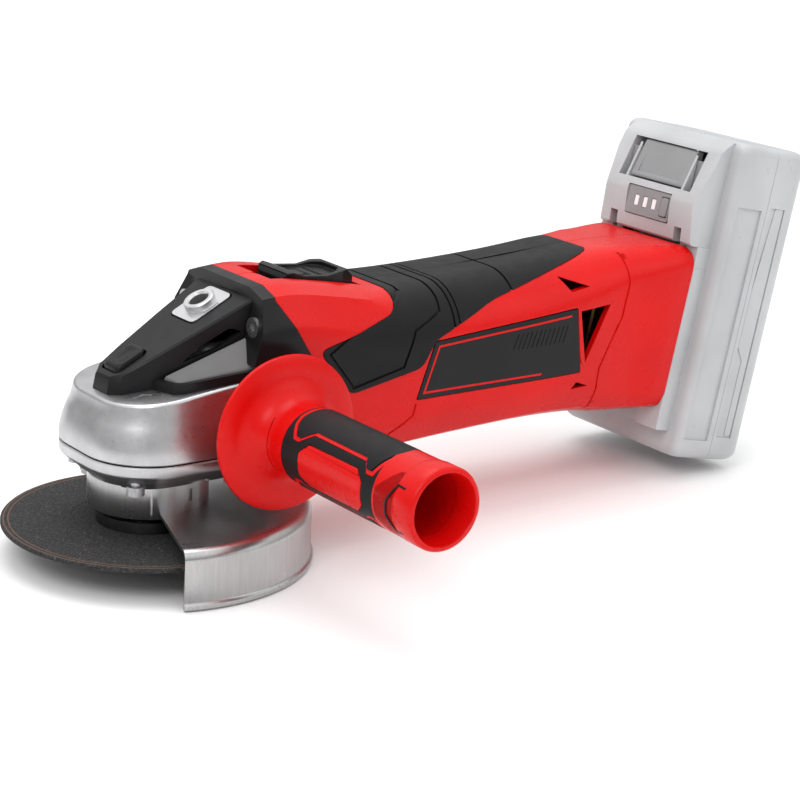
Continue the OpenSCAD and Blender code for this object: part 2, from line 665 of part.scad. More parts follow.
// ---- Motor ----
module armature_shaft() color(STEEL) {
    at_x(crown_r - face_w - 1) cylinder(r = tip_r, h = front_bearing_x - crown_r + face_w + 1);
    at_x(front_bearing_x) cylinder(r = shaft_r, h = rear_bearing_x - front_bearing_x);
    at_x(rear_bearing_x) cylinder(d = REAR_BEARING[0], h = REAR_BEARING[2]);
}
module armature_core() color(DARK_GREY) at_x(core_x) difference() {
    tube(armature_d/2, shaft_r, core_l);
    for (i = [0:11]) rotate([0, 0, 30*i]) box(armature_d/2 - 4.5, armature_d/2 + 1, -0.8, 0.8,
        -1, core_l + 1);
}
module armature_windings() color(COPPER) {
    for (x = [core_x - 4.5, core_x + core_l]) at_x(x) tube(armature_d/2 - 1.2, shaft_r, 4.5);
    at_x(core_x) for (i = [0:11]) rotate([0, 0, 30*i]) box(armature_d/2 - 4.4,
        armature_d/2 - 0.8, -0.7, 0.7, 0, core_l);
}
module commutator() color(COPPER) at_x(comm_x) difference() {
    tube(comm_r, shaft_r, comm_l);
    for (i = [0:11]) rotate([0, 0, 30*i]) box(comm_r - 1, comm_r + 1, -0.3, 0.3, -1, comm_l - 2);
}
module fan() color(BLACK) at_x(fan_x) {
    tube(8, shaft_r, fan_l);
    translate([0, 0, fan_l - 1.8]) tube(fan_d/2, 7, 1.8);
    for (i = [0:14]) rotate([0, 0, 24*i]) box(fan_d/2 - 13, fan_d/2 - 0.6, -0.7, 0.7, 1, fan_l - 1);
}
// Involute outline of the pinion at its outer end
function inv(a) = tan(a)*180/PI - a;
base_r = pinion_r*cos(pressure);
function flank_angle(r) = (pinion_thick - 2*backlash)/(2*pinion_r)*180/PI + inv(pressure)
    - inv(acos(min(base_r/r, 1)));
FLANK = [for (i = [0:5]) base_r + (pinion_r + pinion_add - base_r)*i/5];
function polar(r, a) = [r*cos(a), r*sin(a)];
function pinion_outline() = [for (t = [0:pinion_teeth - 1]) let (mid = 360*t/pinion_teeth)
    each concat([polar(pinion_r - pinion_ded, mid - flank_angle(base_r))],
        [for (r = FLANK) polar(r, mid - flank_angle(r))],
        [for (i = [5:-1:0]) polar(FLANK[i], mid + flank_angle(FLANK[i]))],
        [polar(pinion_r - pinion_ded, mid + flank_angle(base_r))])];
module pinion() color(STEEL) difference() {
    union() {
        translate([crown_r, 0, motor_z]) rotate([0, -90, 0])
            linear_extrude(face_w, scale = face_scale) polygon(pinion_outline());
        at_x(crown_r) cylinder(r = pinion_r - 0.6, h = front_bearing_x - crown_r);
    }
    at_x(crown_r - face_w - 2) cylinder(r = tip_r, h = 30);
}
module front_bearing() color(STEEL) at_x(front_bearing_x) bearing(FRONT_BEARING);
module rear_bearing() color(STEEL) at_x(rear_bearing_x) bearing(REAR_BEARING);
module motor_can() color(STEEL) at_x(can_x) tube(can_d/2, can_d/2 - 1.6, can_l);
module motor_magnets() color(DARK_GREY) at_x(can_x + 3) difference() {
    tube(can_d/2 - 1.6, armature_d/2 + 0.6, can_l - 6);
    for (i = [0:1]) rotate([0, 0, 90*i]) box(-40, 40, -3, 3, -1, can_l);
}
brush_r0 = comm_r + 0.2;
module brush_holders() color(BRASS) mirrored() difference() {
    box(comm_x + 2, comm_x + 10, brush_r0 + 1.5, brush_r0 + 15, motor_z - 4.5, motor_z + 4.5);
    box(comm_x + 3, comm_x + 9, brush_r0, brush_r0 + 14, motor_z - 3.5, motor_z + 3.5);
}
module carbon_brushes() color(DARK_GREY) mirrored()
    box(comm_x + 3.05, comm_x + 8.95, brush_r0, brush_r0 + 11, motor_z - 3.45, motor_z + 3.45);

// ---- Body ----
GRIP = [[grip_x + 0.5, motor_z + 60], [grip_x + 0.5, motor_z + 32], [grip_x - 4, motor_z + 27],
    [body_x + 10.2, motor_z + 16.4], [body_x + 25.6, motor_z - 3.2], [grip_x + 9.9, motor_z + 3.3],
    [grip_x + 15.8, motor_z + 13.9], [grip_x + 47.6, motor_z + 26.3],
    [foot_x - 42.3, motor_z + 38], [foot_x - 26.3, motor_z + 41], [foot_x - 26.3, motor_z + 60]];
module grip_form() difference() {
    intersection() {
        body_form(0);
        side_prism(GRIP, -60, 60);
    }
    body_form(grip_t);
}
PLATE = [[foot_x - 129.5, motor_z + 13.5], [foot_x - 138, motor_z - 10.3],
    [foot_x - 48.4, motor_z - 10.5], [foot_x - 52.4, motor_z + 18.7]];
module plate_form() difference() {
    intersection() {
        body_form(0);
        side_prism(PLATE, -60, 60);
    }
    body_form(plate_t);
}
VENTS = [
    [[foot_x - 59.8, motor_z + 31.7], [foot_x - 55.3, motor_z + 25.2], [foot_x - 44.8, motor_z + 26.7]],
    [[foot_x - 50.4, motor_z + 16.8], [foot_x - 46, motor_z - 6.3], [foot_x - 33.1, motor_z + 17.9]],
    [[foot_x - 50.4, motor_z - 13.4], [foot_x - 54.1, motor_z - 16.5], [foot_x - 43.9, motor_z - 16]]];
BOSSES = [[body_x + 5, motor_z + 33], [can_x + 9, motor_z - 28.5], [can_end + 6, motor_z - 28],
    [switch_x + module_l + 2.5, motor_z - 26], [foot_x - 32, motor_z - 27], [foot_x - 24, motor_z + 32]];
module boss_bodies() for (p = BOSSES) translate([p[0], 0, p[1]]) rotate([90, 0, 0])
    cylinder(r = 3.6, h = 2*half_w, center = true);
module rib(x, r) intersection() {
    body_form(wall - 0.2, 1, 1);
    difference() {
        box(x, x + rib_t, -60, 60, 0, rod_z - 2);
        at_x(x - 1) cylinder(r = r, h = rib_t + 2);
    }
}
module foot_tabs() on_foot() mirrored() box(-4, 1, arm_y - arm_w/2 - 0.4, arm_y + arm_w/2 + 0.4,
    foot_h - 6, foot_h + 2);
module housing_shell() difference() {
    union() {
        difference() {
            body_form(0);
            body_form(wall, -1, wall);
            box(body_x - 1, body_x + wall, -half_w + wall, half_w - wall, motor_z - 31, motor_z + 38);
        }
        intersection() {
            body_form(0.5, 0.1, 0.5);
            boss_bodies();
        }
        each_adapter_boss();
        rib(can_x + 3, can_d/2);
        rib(can_end - 6, can_d/2);
        rib(rear_bearing_x + 0.5, REAR_BEARING[1]/2);
    }
    grip_form();
    plate_form();
    for (v = VENTS) side_prism(v, -60, 60);
    // Slot for the slider's stem, and the seat that the slider runs on
    box(stem_x - 4 - switch_travel, stem_x + stem_l + 4, -stem_w/2 - free_gap, stem_w/2 + free_gap,
        rod_z - 3, motor_z + 60);
    slider_room();
    each_adapter_screw() cylinder(d = 5, h = 40);
    for (p = BOSSES) translate([p[0], 0, p[1]]) rotate([-90, 0, 0]) {
        translate([0, 0, -14]) cylinder(d = 3, h = 80);
        translate([0, 0, half_w - 8]) cylinder(d = 6, h = 20);
    }
    on_foot() box(-wall - 1, 1, -rail_w - free_gap, rail_w + free_gap, rail_s0, rail_s1);
    foot_tabs();
}
module each_adapter_boss() intersection() {
    body_form(0.5, 0.1, 0.5);
    mirrored() for (p = ADAPTER_SCREWS) translate([body_x, p[0], p[1]]) rotate([0, 90, 0])
        cylinder(r = 4.6, h = 13);
}
module housing_left() color(RED) intersection() {
    housing_shell();
    box(body_x - 1, foot_x + 40, -60, 0, 0, 200);
}
module housing_right() color(RED) intersection() {
    housing_shell();
    box(body_x - 1, foot_x + 40, 0, 60, 0, 200);
}
module housing_screws() color(STEEL) for (p = BOSSES)
    translate([p[0], half_w - 8, p[1]]) rotate([-90, 0, 0]) screw(3, half_w - 8 + 12, 5.6, 2.2);
module grip_left() color(BLACK) intersection() {
    grip_form();
    box(0, foot_x + 40, -60, 0, 0, 200);
}
module grip_right() color(BLACK) intersection() {
    grip_form();
    box(0, foot_x + 40, 0, 60, 0, 200);
}
module side_plates() color(BLACK) plate_form();

// ---- Switch ----
slide_line = function (x) motor_z + 42 - 0.17*(x - body_x);
SLIDER_TOP = [[slider_x, 41.2], [slider_x + 3, 42], [slider_x + 11, 40.6], [slider_x + 30, 40.9],
    [slider_x + slider_l - 1.5, 38.5], [slider_x + slider_l, 35.6]];
module slider_seat(gap, reach) side_prism([
    [slider_x - gap - reach, slide_line(slider_x - gap - reach) - 3 - gap],
    [slider_x + slider_l + gap, slide_line(slider_x + slider_l) - 3 - gap],
    [slider_x + slider_l + gap, motor_z + 60], [slider_x - gap - reach, motor_z + 60]],
    -slider_w/2 - gap, slider_w/2 + gap);
module slider_room() slider_seat(free_gap, switch_travel + 0.4);
module switch_slider() color(BLACK) {
    intersection() {
        slider_seat(0, 0);
        side_prism(concat([for (p = SLIDER_TOP) [p[0], motor_z + p[1]]],
            [[slider_x + slider_l, motor_z + 20], [slider_x, motor_z + 20]]), -60, 60);
    }
    box(stem_x, stem_x + stem_l, -stem_w/2, stem_w/2, rod_z + 2, slide_line(stem_x) - 2);
}
module switch_rod() color(BLACK) difference() {
    box(stem_x + 3, rod_end, -5, 5, rod_z - 1.5, rod_z + 2);
    box(rod_end - 8, rod_end - 4, -3, 3, rod_z - 3, rod_z + 3);
}
module switch_module() color(BLACK) difference() {
    box(switch_x + 1, switch_x + module_l, -9, 9, motor_z + 9, motor_z + 26);
    for (y = [-5, 0, 5]) box(switch_x + module_l - 3, switch_x + module_l + 1, y - 1, y + 1,
        motor_z + 12, motor_z + 22);
}
module controller_board() {
    color(GREEN) box(board_x, board_x + board_l, -1, 1, motor_z - 18, motor_z + 22);
    color(SILVER) for (i = [0:5]) box(board_x + 3 + i*4, board_x + 4.6 + i*4, 1, 13,
        motor_z - 6, motor_z + 14);
    color(BLACK) for (i = [0:1]) translate([board_x + 8 + 14*i, -1, motor_z + 2]) rotate([90, 0, 0])
        cylinder(r = 5, h = 14);
}

// ---- Battery dock ----
module terminal_block() color(BLACK) on_foot() difference() {
    union() {
        box(-wall - 12, rail_n, -rail_w + 0.1, rail_w - 0.1, rail_s0 + 0.1, rail_s1 - 0.1);
        box(rail_n - cut, 2*rail_n, -rail_flange, rail_flange, rail_s0 + 0.1, rail_s1 - 0.1);
    }
    for (y = [-12, -4, 4, 12]) box(-wall - 20, 2*rail_n + 1, y - 1, y + 1, rail_s0 + 6, rail_s1 - 12);
}
module terminal_blades() color(BRASS) on_foot()
    for (y = [-12, -4, 4, 12]) box(-wall - 16, 2*rail_n - 0.5, y - 0.9, y + 0.9,
        rail_s0 + 6.5, rail_s1 - 12.5);

// ---- Side handle ----
tip_z = handle_l + 1.3;
sleeve_z0 = dish_at + 20;
sleeve_z1 = tip_z - 12.6;
sleeve_t = 1.3;
window_at = 5;
window_w = 16.4;
module sleeve_windows(gap) for (a = [0, 180]) rotate([0, 0, a + window_at])
    box(8, 30, -window_w/2 + gap, window_w/2 - gap, sleeve_z0 + 11.5 + gap, sleeve_z1 - 18.2 - gap);
module handle_washer() color(STEEL) on_handle() translate([0, 0, 0.2]) tube(8, stud_d/2, 0.9);
module handle_core() color(RED) on_handle() difference() {
    union() {
        rotate_extrude() polygon(concat([[0, 1.3], [10.5, 1.3], [12, 3], [12, dish_at - 2]],
        [[dish_d/2 - 3, dish_at - 1], [dish_d/2, dish_at + 1], [dish_d/2, dish_at + 2.4],
         [dish_d/2 - 1.2, dish_at + 3.2], [dish_d/2 - 10, dish_at + 3.6]],
        [for (a = [80:-20:0]) [handle_tube_d/2 + 6 - 6*cos(90 - a) + 0.6, dish_at + 12 - 7*sin(a)]],
        [[handle_tube_d/2, dish_at + 14], [handle_tube_d/2, tip_z - 12.4],
         [handle_end_d/2 - 0.4, tip_z - 11], [handle_end_d/2, tip_z - 1.5],
         [handle_end_d/2 - 1, tip_z], [0, tip_z]]));
        intersection() {
            cylinder(r = handle_tube_d/2 + sleeve_t - 0.1, h = tip_z - 1);
            sleeve_windows(free_gap);
        }
    }
    translate([0, 0, tip_z - 54]) cylinder(r = handle_bore_d/2 - 2.6, h = 60);
    translate([0, 0, tip_z - 16]) cylinder(d = handle_bore_d, h = 20);
    cylinder(d = stud_d - 2*run_gap, h = 24);
    translate([0, 0, 14]) cylinder(d = 13, h = 6.5, $fn = 6);
}
module handle_grip() color(BLACK) on_handle() difference() {
    translate([0, 0, sleeve_z0]) tube(handle_tube_d/2 + sleeve_t, handle_tube_d/2,
        sleeve_z1 - sleeve_z0);
    sleeve_windows(0);
}
module handle_stud() color(STEEL) on_handle() {
    translate([0, 0, -12]) cylinder(d = stud_d - 2*run_gap, h = 36);
    translate([0, 0, 14]) difference() {
        cylinder(d = 13, h = 6.5, $fn = 6);
        translate([0, 0, -1]) cylinder(d = stud_d - 2*run_gap, h = 9);
    }
}

// ---- Battery pack ----
module pack_plan(inset) polygon(round_rect(pack_n + inset, pack_n + pack_d - inset,
    -pack_half + inset, pack_half - inset, pack_corner - inset, pack_corner - inset, 4 - inset, 4 - inset));
module pack_form(inset) translate([0, 0, pack_s + inset]) linear_extrude(pack_h - 2*inset)
    pack_plan(inset);
HEAD_FACE = [[pack_n + 1, head_s], [-3, head_s], [-5.5, 93], [2.5, pack_top - 6], [pack_n, pack_top - 1],
    [pack_n + 1, pack_top - 1]];
module rail_channel() {
    box(-1, rail_n - 0.2, -rail_w - free_gap, rail_w + free_gap, dock_s0 - 1, rail_s1 + 1);
    box(rail_n - free_gap, 2*rail_n + free_gap, -rail_flange - free_gap, rail_flange + free_gap,
        dock_s0 - 1, rail_s1 + 1);
}
module latch_room() {
    box(-20, pack_n + pack_wall + 1, -latch_w/2 - free_gap, latch_w/2 + free_gap, latch_s0 - free_gap,
        latch_s1 + free_gap);
    mirrored() box(-4, pack_n + pack_wall + 1, arm_y - arm_w/2 - free_gap, arm_y + arm_w/2 + free_gap,
        foot_h - 5, latch_s1 + free_gap);
    box(1, pack_n + pack_wall + 1, -arm_y - 2, arm_y + 2, latch_s0 - free_gap, latch_s1 + free_gap);
}
GAUGE = [82, 95];
gauge_n = -4.6;
module gauge_room() box(-20, 0.2, -14.1, 14.1, GAUGE[0] - 0.1, GAUGE[1] + 0.1);
module pack_front() color(PALE) on_foot() difference() {
    union() {
        difference() {
            pack_form(0);
            pack_form(pack_wall);
        }
        box(free_gap, pack_n + 1, -dock_w, dock_w, dock_s0, dock_s1);
        side_prism(HEAD_FACE, -dock_w, dock_w);
    }
    box(pack_split, pack_split + 50, -60, 60, pack_s - 1, pack_top + 1);
    rail_channel();
    latch_room();
    gauge_room();
    pack_holes();
}
module pack_rear() color(PALE) on_foot() difference() {
    pack_form(0);
    pack_form(pack_wall);
    box(pack_split - 50, pack_split, -60, 60, pack_s - 1, pack_top + 1);
    pack_holes();
}
PACK_SCREWS = [[pack_half - 6.5, pack_s + 6], [pack_half - 6.5, pack_top - 8]];
module each_pack_screw() mirrored() for (p = PACK_SCREWS) translate([0, p[0], p[1]])
    rotate([0, -90, 0]) children();
module pack_holes() each_pack_screw() translate([0, 0, -100]) cylinder(d = 3, h = 200);
module pack_screws() color(STEEL) on_foot() each_pack_screw()
    translate([0, 0, -pack_n - pack_d]) rotate([180, 0, 0]) screw(3, pack_d - 3, 5.4, 1);
module pack_cells() color(DARK_GREY) on_foot() for (i = [0:4], j = [0:1])
    translate([cell_n + j*cell_pitch, 0, cell_s + i*cell_pitch]) rotate([90, 0, 0])
        cylinder(d = cell_d, h = cell_l, center = true);
module cell_holder() color(BLACK) on_foot() mirrored() difference() {
    box(cell_n - cell_d/2 - 0.4, cell_n + cell_pitch + cell_d/2 + 0.4, cell_l/2 - 8, cell_l/2 - 5,
        cell_s - cell_d/2 - 1, cell_s + 4*cell_pitch + cell_d/2 + 1);
    for (i = [0:4], j = [0:1]) translate([cell_n + j*cell_pitch, 0, cell_s + i*cell_pitch])
        rotate([-90, 0, 0]) cylinder(d = cell_d, h = cell_l);
}
board_s = cell_s + 4*cell_pitch + cell_d/2 + 2;
module pack_board() color(GREEN) on_foot()
    box(cell_n, cell_n + cell_pitch + 7, -cell_l/2 + 2, cell_l/2 - 2, board_s, board_s + 1.6);
module pack_latch() color(PALE) on_foot() {
    side_prism([[-2.2, latch_s0], [pack_n - 2, latch_s0], [pack_n - 2, latch_s1],
        [2.2, latch_s1], [-0.4, latch_s0 + 8]], -latch_w/2, latch_w/2);
    box(1.5, 4, -arm_y - 1, arm_y + 1, latch_s0 + 2, latch_s1 - 4);
    mirrored() {
        box(1.5, 4, arm_y - arm_w/2, arm_y + arm_w/2, foot_h - 3, latch_s1 - 4);
        box(-2.5, 4, arm_y - arm_w/2, arm_y + arm_w/2, foot_h - 4, foot_h - 1);
    }
}
module gauge_panel() color(DARK_GREY) on_foot() difference() {
    box(gauge_n, 0, -14, 14, GAUGE[0], GAUGE[1]);
    box(-20, 1, -13, -8, GAUGE[0] + 2, GAUGE[1] - 2);
}
module gauge_button() color(DARK_GREY) on_foot()
    box(gauge_n - 0.4, -gauge_travel - 0.2, -13 + free_gap, -8 - free_gap,
        GAUGE[0] + 2 + free_gap, GAUGE[1] - 2 - free_gap);

spindle();
crown_gear();
gear_key();
inner_flange();
cutting_disc();
clamp_nut();
guard();
guard_clamp_screw();
bearing_flange();
flange_gasket();
flange_screws();
bearing_retainer();
lower_bearing();
upper_bearing();
gear_housing();
top_cover();
air_guide();
handle_insert();
adapter_frame();
adapter_screws();
lock_button();
lock_pin();
lock_spring();
armature_shaft();
armature_core();
armature_windings();
commutator();
fan();
pinion();
front_bearing();
rear_bearing();
motor_can();
motor_magnets();
brush_holders();
carbon_brushes();
housing_left();
housing_right();
housing_screws();
grip_left();
grip_right();
side_plates();
switch_slider();
switch_rod();
switch_module();
controller_board();
terminal_block();
terminal_blades();
handle_core();
handle_grip();
handle_stud();
handle_washer();
pack_front();
pack_rear();
pack_cells();
cell_holder();
pack_board();
pack_latch();
gauge_panel();
gauge_button();
pack_screws();
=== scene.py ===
import json
import math

import bmesh
import bpy
from mathutils import Matrix, Vector
from mathutils.bvhtree import BVHTree


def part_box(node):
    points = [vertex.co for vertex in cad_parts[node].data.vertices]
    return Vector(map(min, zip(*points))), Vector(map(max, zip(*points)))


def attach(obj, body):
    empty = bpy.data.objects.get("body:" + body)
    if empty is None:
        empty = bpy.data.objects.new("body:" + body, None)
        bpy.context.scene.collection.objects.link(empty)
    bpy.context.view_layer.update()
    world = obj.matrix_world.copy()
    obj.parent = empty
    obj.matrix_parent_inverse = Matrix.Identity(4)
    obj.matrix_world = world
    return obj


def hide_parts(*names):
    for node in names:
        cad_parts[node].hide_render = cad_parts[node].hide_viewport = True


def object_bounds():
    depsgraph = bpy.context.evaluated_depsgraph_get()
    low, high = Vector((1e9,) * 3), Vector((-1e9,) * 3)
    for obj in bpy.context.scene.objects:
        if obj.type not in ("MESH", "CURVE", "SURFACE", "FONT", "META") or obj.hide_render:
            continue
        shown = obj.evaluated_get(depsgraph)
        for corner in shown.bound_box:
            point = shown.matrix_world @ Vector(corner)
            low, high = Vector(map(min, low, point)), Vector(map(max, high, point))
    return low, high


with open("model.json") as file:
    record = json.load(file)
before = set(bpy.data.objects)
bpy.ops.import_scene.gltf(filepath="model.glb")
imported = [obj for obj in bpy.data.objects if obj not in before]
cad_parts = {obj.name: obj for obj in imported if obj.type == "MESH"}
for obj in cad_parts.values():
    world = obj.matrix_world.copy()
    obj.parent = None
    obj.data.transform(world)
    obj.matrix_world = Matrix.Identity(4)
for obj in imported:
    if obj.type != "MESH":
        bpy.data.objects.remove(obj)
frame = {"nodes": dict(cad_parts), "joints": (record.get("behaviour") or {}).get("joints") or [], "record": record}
cad_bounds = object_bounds()

# Lengths in this file are millimetres, until a mesh is made from them in metres
MM = 0.001
# Points closer than this are joined after cutting, in metres
JOIN_DISTANCE = 7e-5
# Cutters that go right through the tool reach this far to each side
BEYOND = 60


def span(node):
    """Lowest and highest corner of a CAD node."""
    low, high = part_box(node)
    return low / MM, high / MM


def centre(node):
    """Middle of a CAD node."""
    low, high = span(node)
    return (low + high) / 2


# ---- Places that come from the CAD model ----
MOTOR_Z = centre("motor_can").z
SEAM_Z = span("flange_gasket")[1].z
HEAD_BACK = span("gear_housing")[1].x
NOSE_X = span("gear_housing")[0].x
HEAD_HALF = 34.0
BODY_X = span("adapter_frame")[1].x
ADAPTER_X = span("adapter_frame")[0].x
FOOT_X, FOOT_Z, FOOT_H = 243.3, MOTOR_Z - 35.2, 74.5
PACK_AXIS = Vector(next(j for j in frame["joints"] if j["name"] == "pack_slide")["axis"])
FOOT_TILT = math.atan2(abs(PACK_AXIS.x), abs(PACK_AXIS.z))
HANDLE = centre("handle_washer")
HANDLE_Y = -HEAD_HALF

FOOT_FRAME = Matrix.Translation((FOOT_X, 0, FOOT_Z)) @ Matrix.Rotation(FOOT_TILT, 4, "Y")
HANDLE_FRAME = Matrix.Translation((HANDLE.x, HANDLE_Y, HANDLE.z)) @ Matrix.Rotation(math.pi / 2, 4, "X")
DECK_SLOPE = 0.52
DECK_X, DECK_Z = 14, MOTOR_Z + 26.7
ROOF_SLOPE, ROOF_Z = 0.12, MOTOR_Z + 4.5
UPRIGHT = Matrix.Identity(4)


def deck(x):
    """Height of the top cover's sloping deck."""
    return DECK_Z + DECK_SLOPE * (x - DECK_X)


def roof(x):
    """Height of the gear head's roof."""
    return ROOF_Z + ROOF_SLOPE * x


def deck_frame(x):
    """Frame on the deck, with z off its surface."""
    return Matrix.Translation((x, 0, deck(x))) @ Matrix.Rotation(-math.atan(DECK_SLOPE), 4, "Y")


# ---- Mesh helpers ----
def lerp(a, b, t):
    """Value at a share of the way from a to b."""
    return a + (b - a) * t


def mesh_piece(name, points, faces, place=UPRIGHT):
    """A closed mesh from points in millimetres, with its faces turned outwards."""
    mesh = bpy.data.meshes.new(name)
    mesh.from_pydata([(place @ Vector(p)) * MM for p in points], [], faces)
    work = bmesh.new()
    work.from_mesh(mesh)
    bmesh.ops.remove_doubles(work, verts=work.verts, dist=1e-7)
    bmesh.ops.recalc_face_normals(work, faces=work.faces)
    work.to_mesh(mesh)
    work.free()
    piece = bpy.data.objects.new(name, mesh)
    bpy.context.scene.collection.objects.link(piece)
    return piece


def loft(name, rings, place=UPRIGHT, closed=False):
    """Skin over rings of equal length; closed joins the last ring to the first."""
    n, count = len(rings[0]), len(rings)
    points = [p for ring in rings for p in ring]
    faces = []
    for k in range(count if closed else count - 1):
        a, b = k * n, (k + 1) % count * n
        faces += [(a + i, b + i, b + (i + 1) % n, a + (i + 1) % n) for i in range(n)]
    if not closed:
        faces += [tuple(range(n)), tuple(range((count - 1) * n, count * n))]
    return mesh_piece(name, points, faces, place)


def lathe(name, profile, place=UPRIGHT, steps=128, start=0.0, sweep=360.0):
    """Solid of revolution about local z, from a closed profile of (radius, z)."""
    full = sweep >= 360
    count = steps if full else steps + 1
    rings = []
    for i in range(count):
        a = math.radians(start + sweep * i / steps)
        rings.append([(r * math.cos(a), r * math.sin(a), z) for r, z in profile])
    return loft(name, rings, place, closed=full)


def prism(name, outline, y0=-BEYOND, y1=BEYOND):
    """Straight block across the tool, from an outline in x and z."""
    return loft(name, [[(x, y, z) for x, z in outline] for y in (y0, y1)])


def slab(name, outline, z0, z1, place=UPRIGHT):
    """Straight block along local z, from an outline in x and y."""
    return loft(name, [[(x, y, z) for x, y in outline] for z in (z0, z1)], place)


def block(name, low, high, place=UPRIGHT):
    """Box between two corners, used to cut other pieces."""
    (x0, y0, z0), (x1, y1, z1) = low, high
    return slab(name, [(x0, y0), (x1, y0), (x1, y1), (x0, y1)], z0, z1, place)


def rounded(outline, radius, steps=4):
    """The outline with each corner rounded by a short curve."""
    result = []
    n = len(outline)
    for i in range(n):
        before, corner, after = (Vector(outline[(i + k) % n]) for k in (-1, 0, 1))
        reach_a = min(radius, (before - corner).length * 0.45)
        reach_b = min(radius, (after - corner).length * 0.45)
        a = corner + (before - corner).normalized() * reach_a
        b = corner + (after - corner).normalized() * reach_b
        for k in range(steps + 1):
            t = k / steps
            result.append(tuple(a * (1 - t) ** 2 + corner * 2 * t * (1 - t) + b * t ** 2))
    return result


def box_outline(x0, x1, y0, y1, radius, steps=6):
    return rounded([(x0, y0), (x1, y0), (x1, y1), (x0, y1)], radius, steps)


def stroke(path, width):
    """Outline of a line of even width along a path."""
    points = [Vector(p) for p in path]
    left, right = [], []
    for i, p in enumerate(points):
        into = (p - points[i - 1]).normalized() if i else None
        out = (points[i + 1] - p).normalized() if i + 1 < len(points) else None
        along = into or out
        if into and out:
            along = (into + out).normalized()
        side = Vector((-along.y, along.x))
        stretch = 1 / max(side.dot(Vector((-(out or into).y, (out or into).x))), 0.4)
        left.append(tuple(p + side * width / 2 * stretch))
        right.append(tuple(p - side * width / 2 * stretch))
    return left + right[::-1]


def carve(piece, cutter, operation="DIFFERENCE"):
    """Cuts the cutter out of the piece, and removes the cutter."""
    tool = piece.modifiers.new("carve", "BOOLEAN")
    tool.operation, tool.solver, tool.object = operation, "EXACT", cutter
    graph = bpy.context.evaluated_depsgraph_get()
    mesh = bpy.data.meshes.new_from_object(piece.evaluated_get(graph))
    piece.modifiers.clear()
    old, piece.data = piece.data, mesh
    mesh.name = old.name + "_cut"
    bpy.data.meshes.remove(old)
    bpy.data.objects.remove(cutter)
    return piece


def tidy_mesh(piece):
    """Joins the tiny edges that cutting leaves."""
    work = bmesh.new()
    work.from_mesh(piece.data)
    bmesh.ops.remove_doubles(work, verts=work.verts, dist=JOIN_DISTANCE)
    bmesh.ops.dissolve_degenerate(work, edges=work.edges, dist=JOIN_DISTANCE)
    work.to_mesh(piece.data)
    work.free()


def surface_tree(mesh):
    """Search tree of a mesh's triangles."""
    mesh.calc_loop_triangles()
    triangles = [tuple(t.vertices) for t in mesh.loop_triangles]
    return BVHTree.FromPolygons([v.co for v in mesh.vertices], triangles)


def calm(piece, bevel):
    """Narrows the rounding until no point of it leaves the piece's own surface."""
    tree = surface_tree(piece.data)
    for _ in range(4):
        shape = piece.evaluated_get(bpy.context.evaluated_depsgraph_get())
        farthest = max(tree.find_nearest(v.co)[3] for v in shape.to_mesh().vertices)
        shape.to_mesh_clear()
        if farthest < max(1.1 * bevel.width, 0.2 * MM):
            return
        bevel.width *= 0.6


def soften(piece, width, angle=30, segments=2):
    """Rounds the piece's sharp edges and shades it smooth."""
    piece.data.polygons.foreach_set("use_smooth", [True] * len(piece.data.polygons))
    bevel = piece.modifiers.new("edge_rounding", "BEVEL")
    bevel.width = width * MM
    bevel.segments = segments
    bevel.limit_method = "ANGLE"
    bevel.angle_limit = math.radians(angle)
    bevel.use_clamp_overlap = False
    bevel.harden_normals = True
    bevel.miter_outer = "MITER_ARC"
    calm(piece, bevel)
    return piece


def dress(piece, body, slot, nodes=(), edge=0.35, angle=30, material=None):
    """Gives a finished mesh its material and its body, and hides the CAD nodes that it stands for."""
    if edge:
        tidy_mesh(piece)
        soften(piece, edge, angle)
    piece.data.materials.clear()
    piece.data.materials.append(material or MATERIALS[slot])
    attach(piece, body)
    if nodes:
        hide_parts(*nodes)
    return piece


# ---- Materials ----
def new_material(name, roughness, metallic=0.0):
    """A material with its links, its shader and the object's own coordinates."""
    material = bpy.data.materials.new(name)
    material.use_nodes = True
    shader = material.node_tree.nodes["Principled BSDF"]
    shader.inputs["Metallic"].default_value = metallic
    shader.inputs["Roughness"].default_value = roughness
    place = material.node_tree.nodes.new("ShaderNodeTexCoord")
    return material, material.node_tree.links, shader, place.outputs["Object"]


def tree_of(socket):
    """Nodes and links of the graph that a socket is in."""
    return socket.node.id_data.nodes, socket.node.id_data.links


def noise(where, scale, detail=4.0, stretch=None):
    """Noise of a scale in cycles per metre, drawn out along one axis if stretch is given."""
    nodes, links = tree_of(where)
    if stretch:
        mapping = nodes.new("ShaderNodeMapping")
        mapping.inputs["Scale"].default_value = stretch
        links.new(where, mapping.inputs["Vector"])
        where = mapping.outputs["Vector"]
    texture = nodes.new("ShaderNodeTexNoise")
    texture.inputs["Scale"].default_value = scale
    texture.inputs["Detail"].default_value = detail
    links.new(where, texture.inputs["Vector"])
    return texture.outputs["Fac"]


def spread(value, low, high, a=0.3, b=0.7):
    """Maps a noise value from a..b to low..high."""
    nodes, links = tree_of(value)
    remap = nodes.new("ShaderNodeMapRange")
    remap.inputs["From Min"].default_value = a
    remap.inputs["From Max"].default_value = b
    remap.inputs["To Min"].default_value = low
    remap.inputs["To Max"].default_value = high
    links.new(value, remap.inputs["Value"])
    return remap.outputs["Result"]


def colour_between(value, first, second, a=0.3, b=0.7):
    """Colour that runs from the first to the second as the value goes from a to b."""
    nodes, links = tree_of(value)
    ramp = nodes.new("ShaderNodeValToRGB")
    ramp.color_ramp.elements[0].position = a
    ramp.color_ramp.elements[1].position = b
    ramp.color_ramp.elements[0].color = (*first, 1)
    ramp.color_ramp.elements[1].color = (*second, 1)
    links.new(value, ramp.inputs["Fac"])
    return ramp.outputs["Color"]


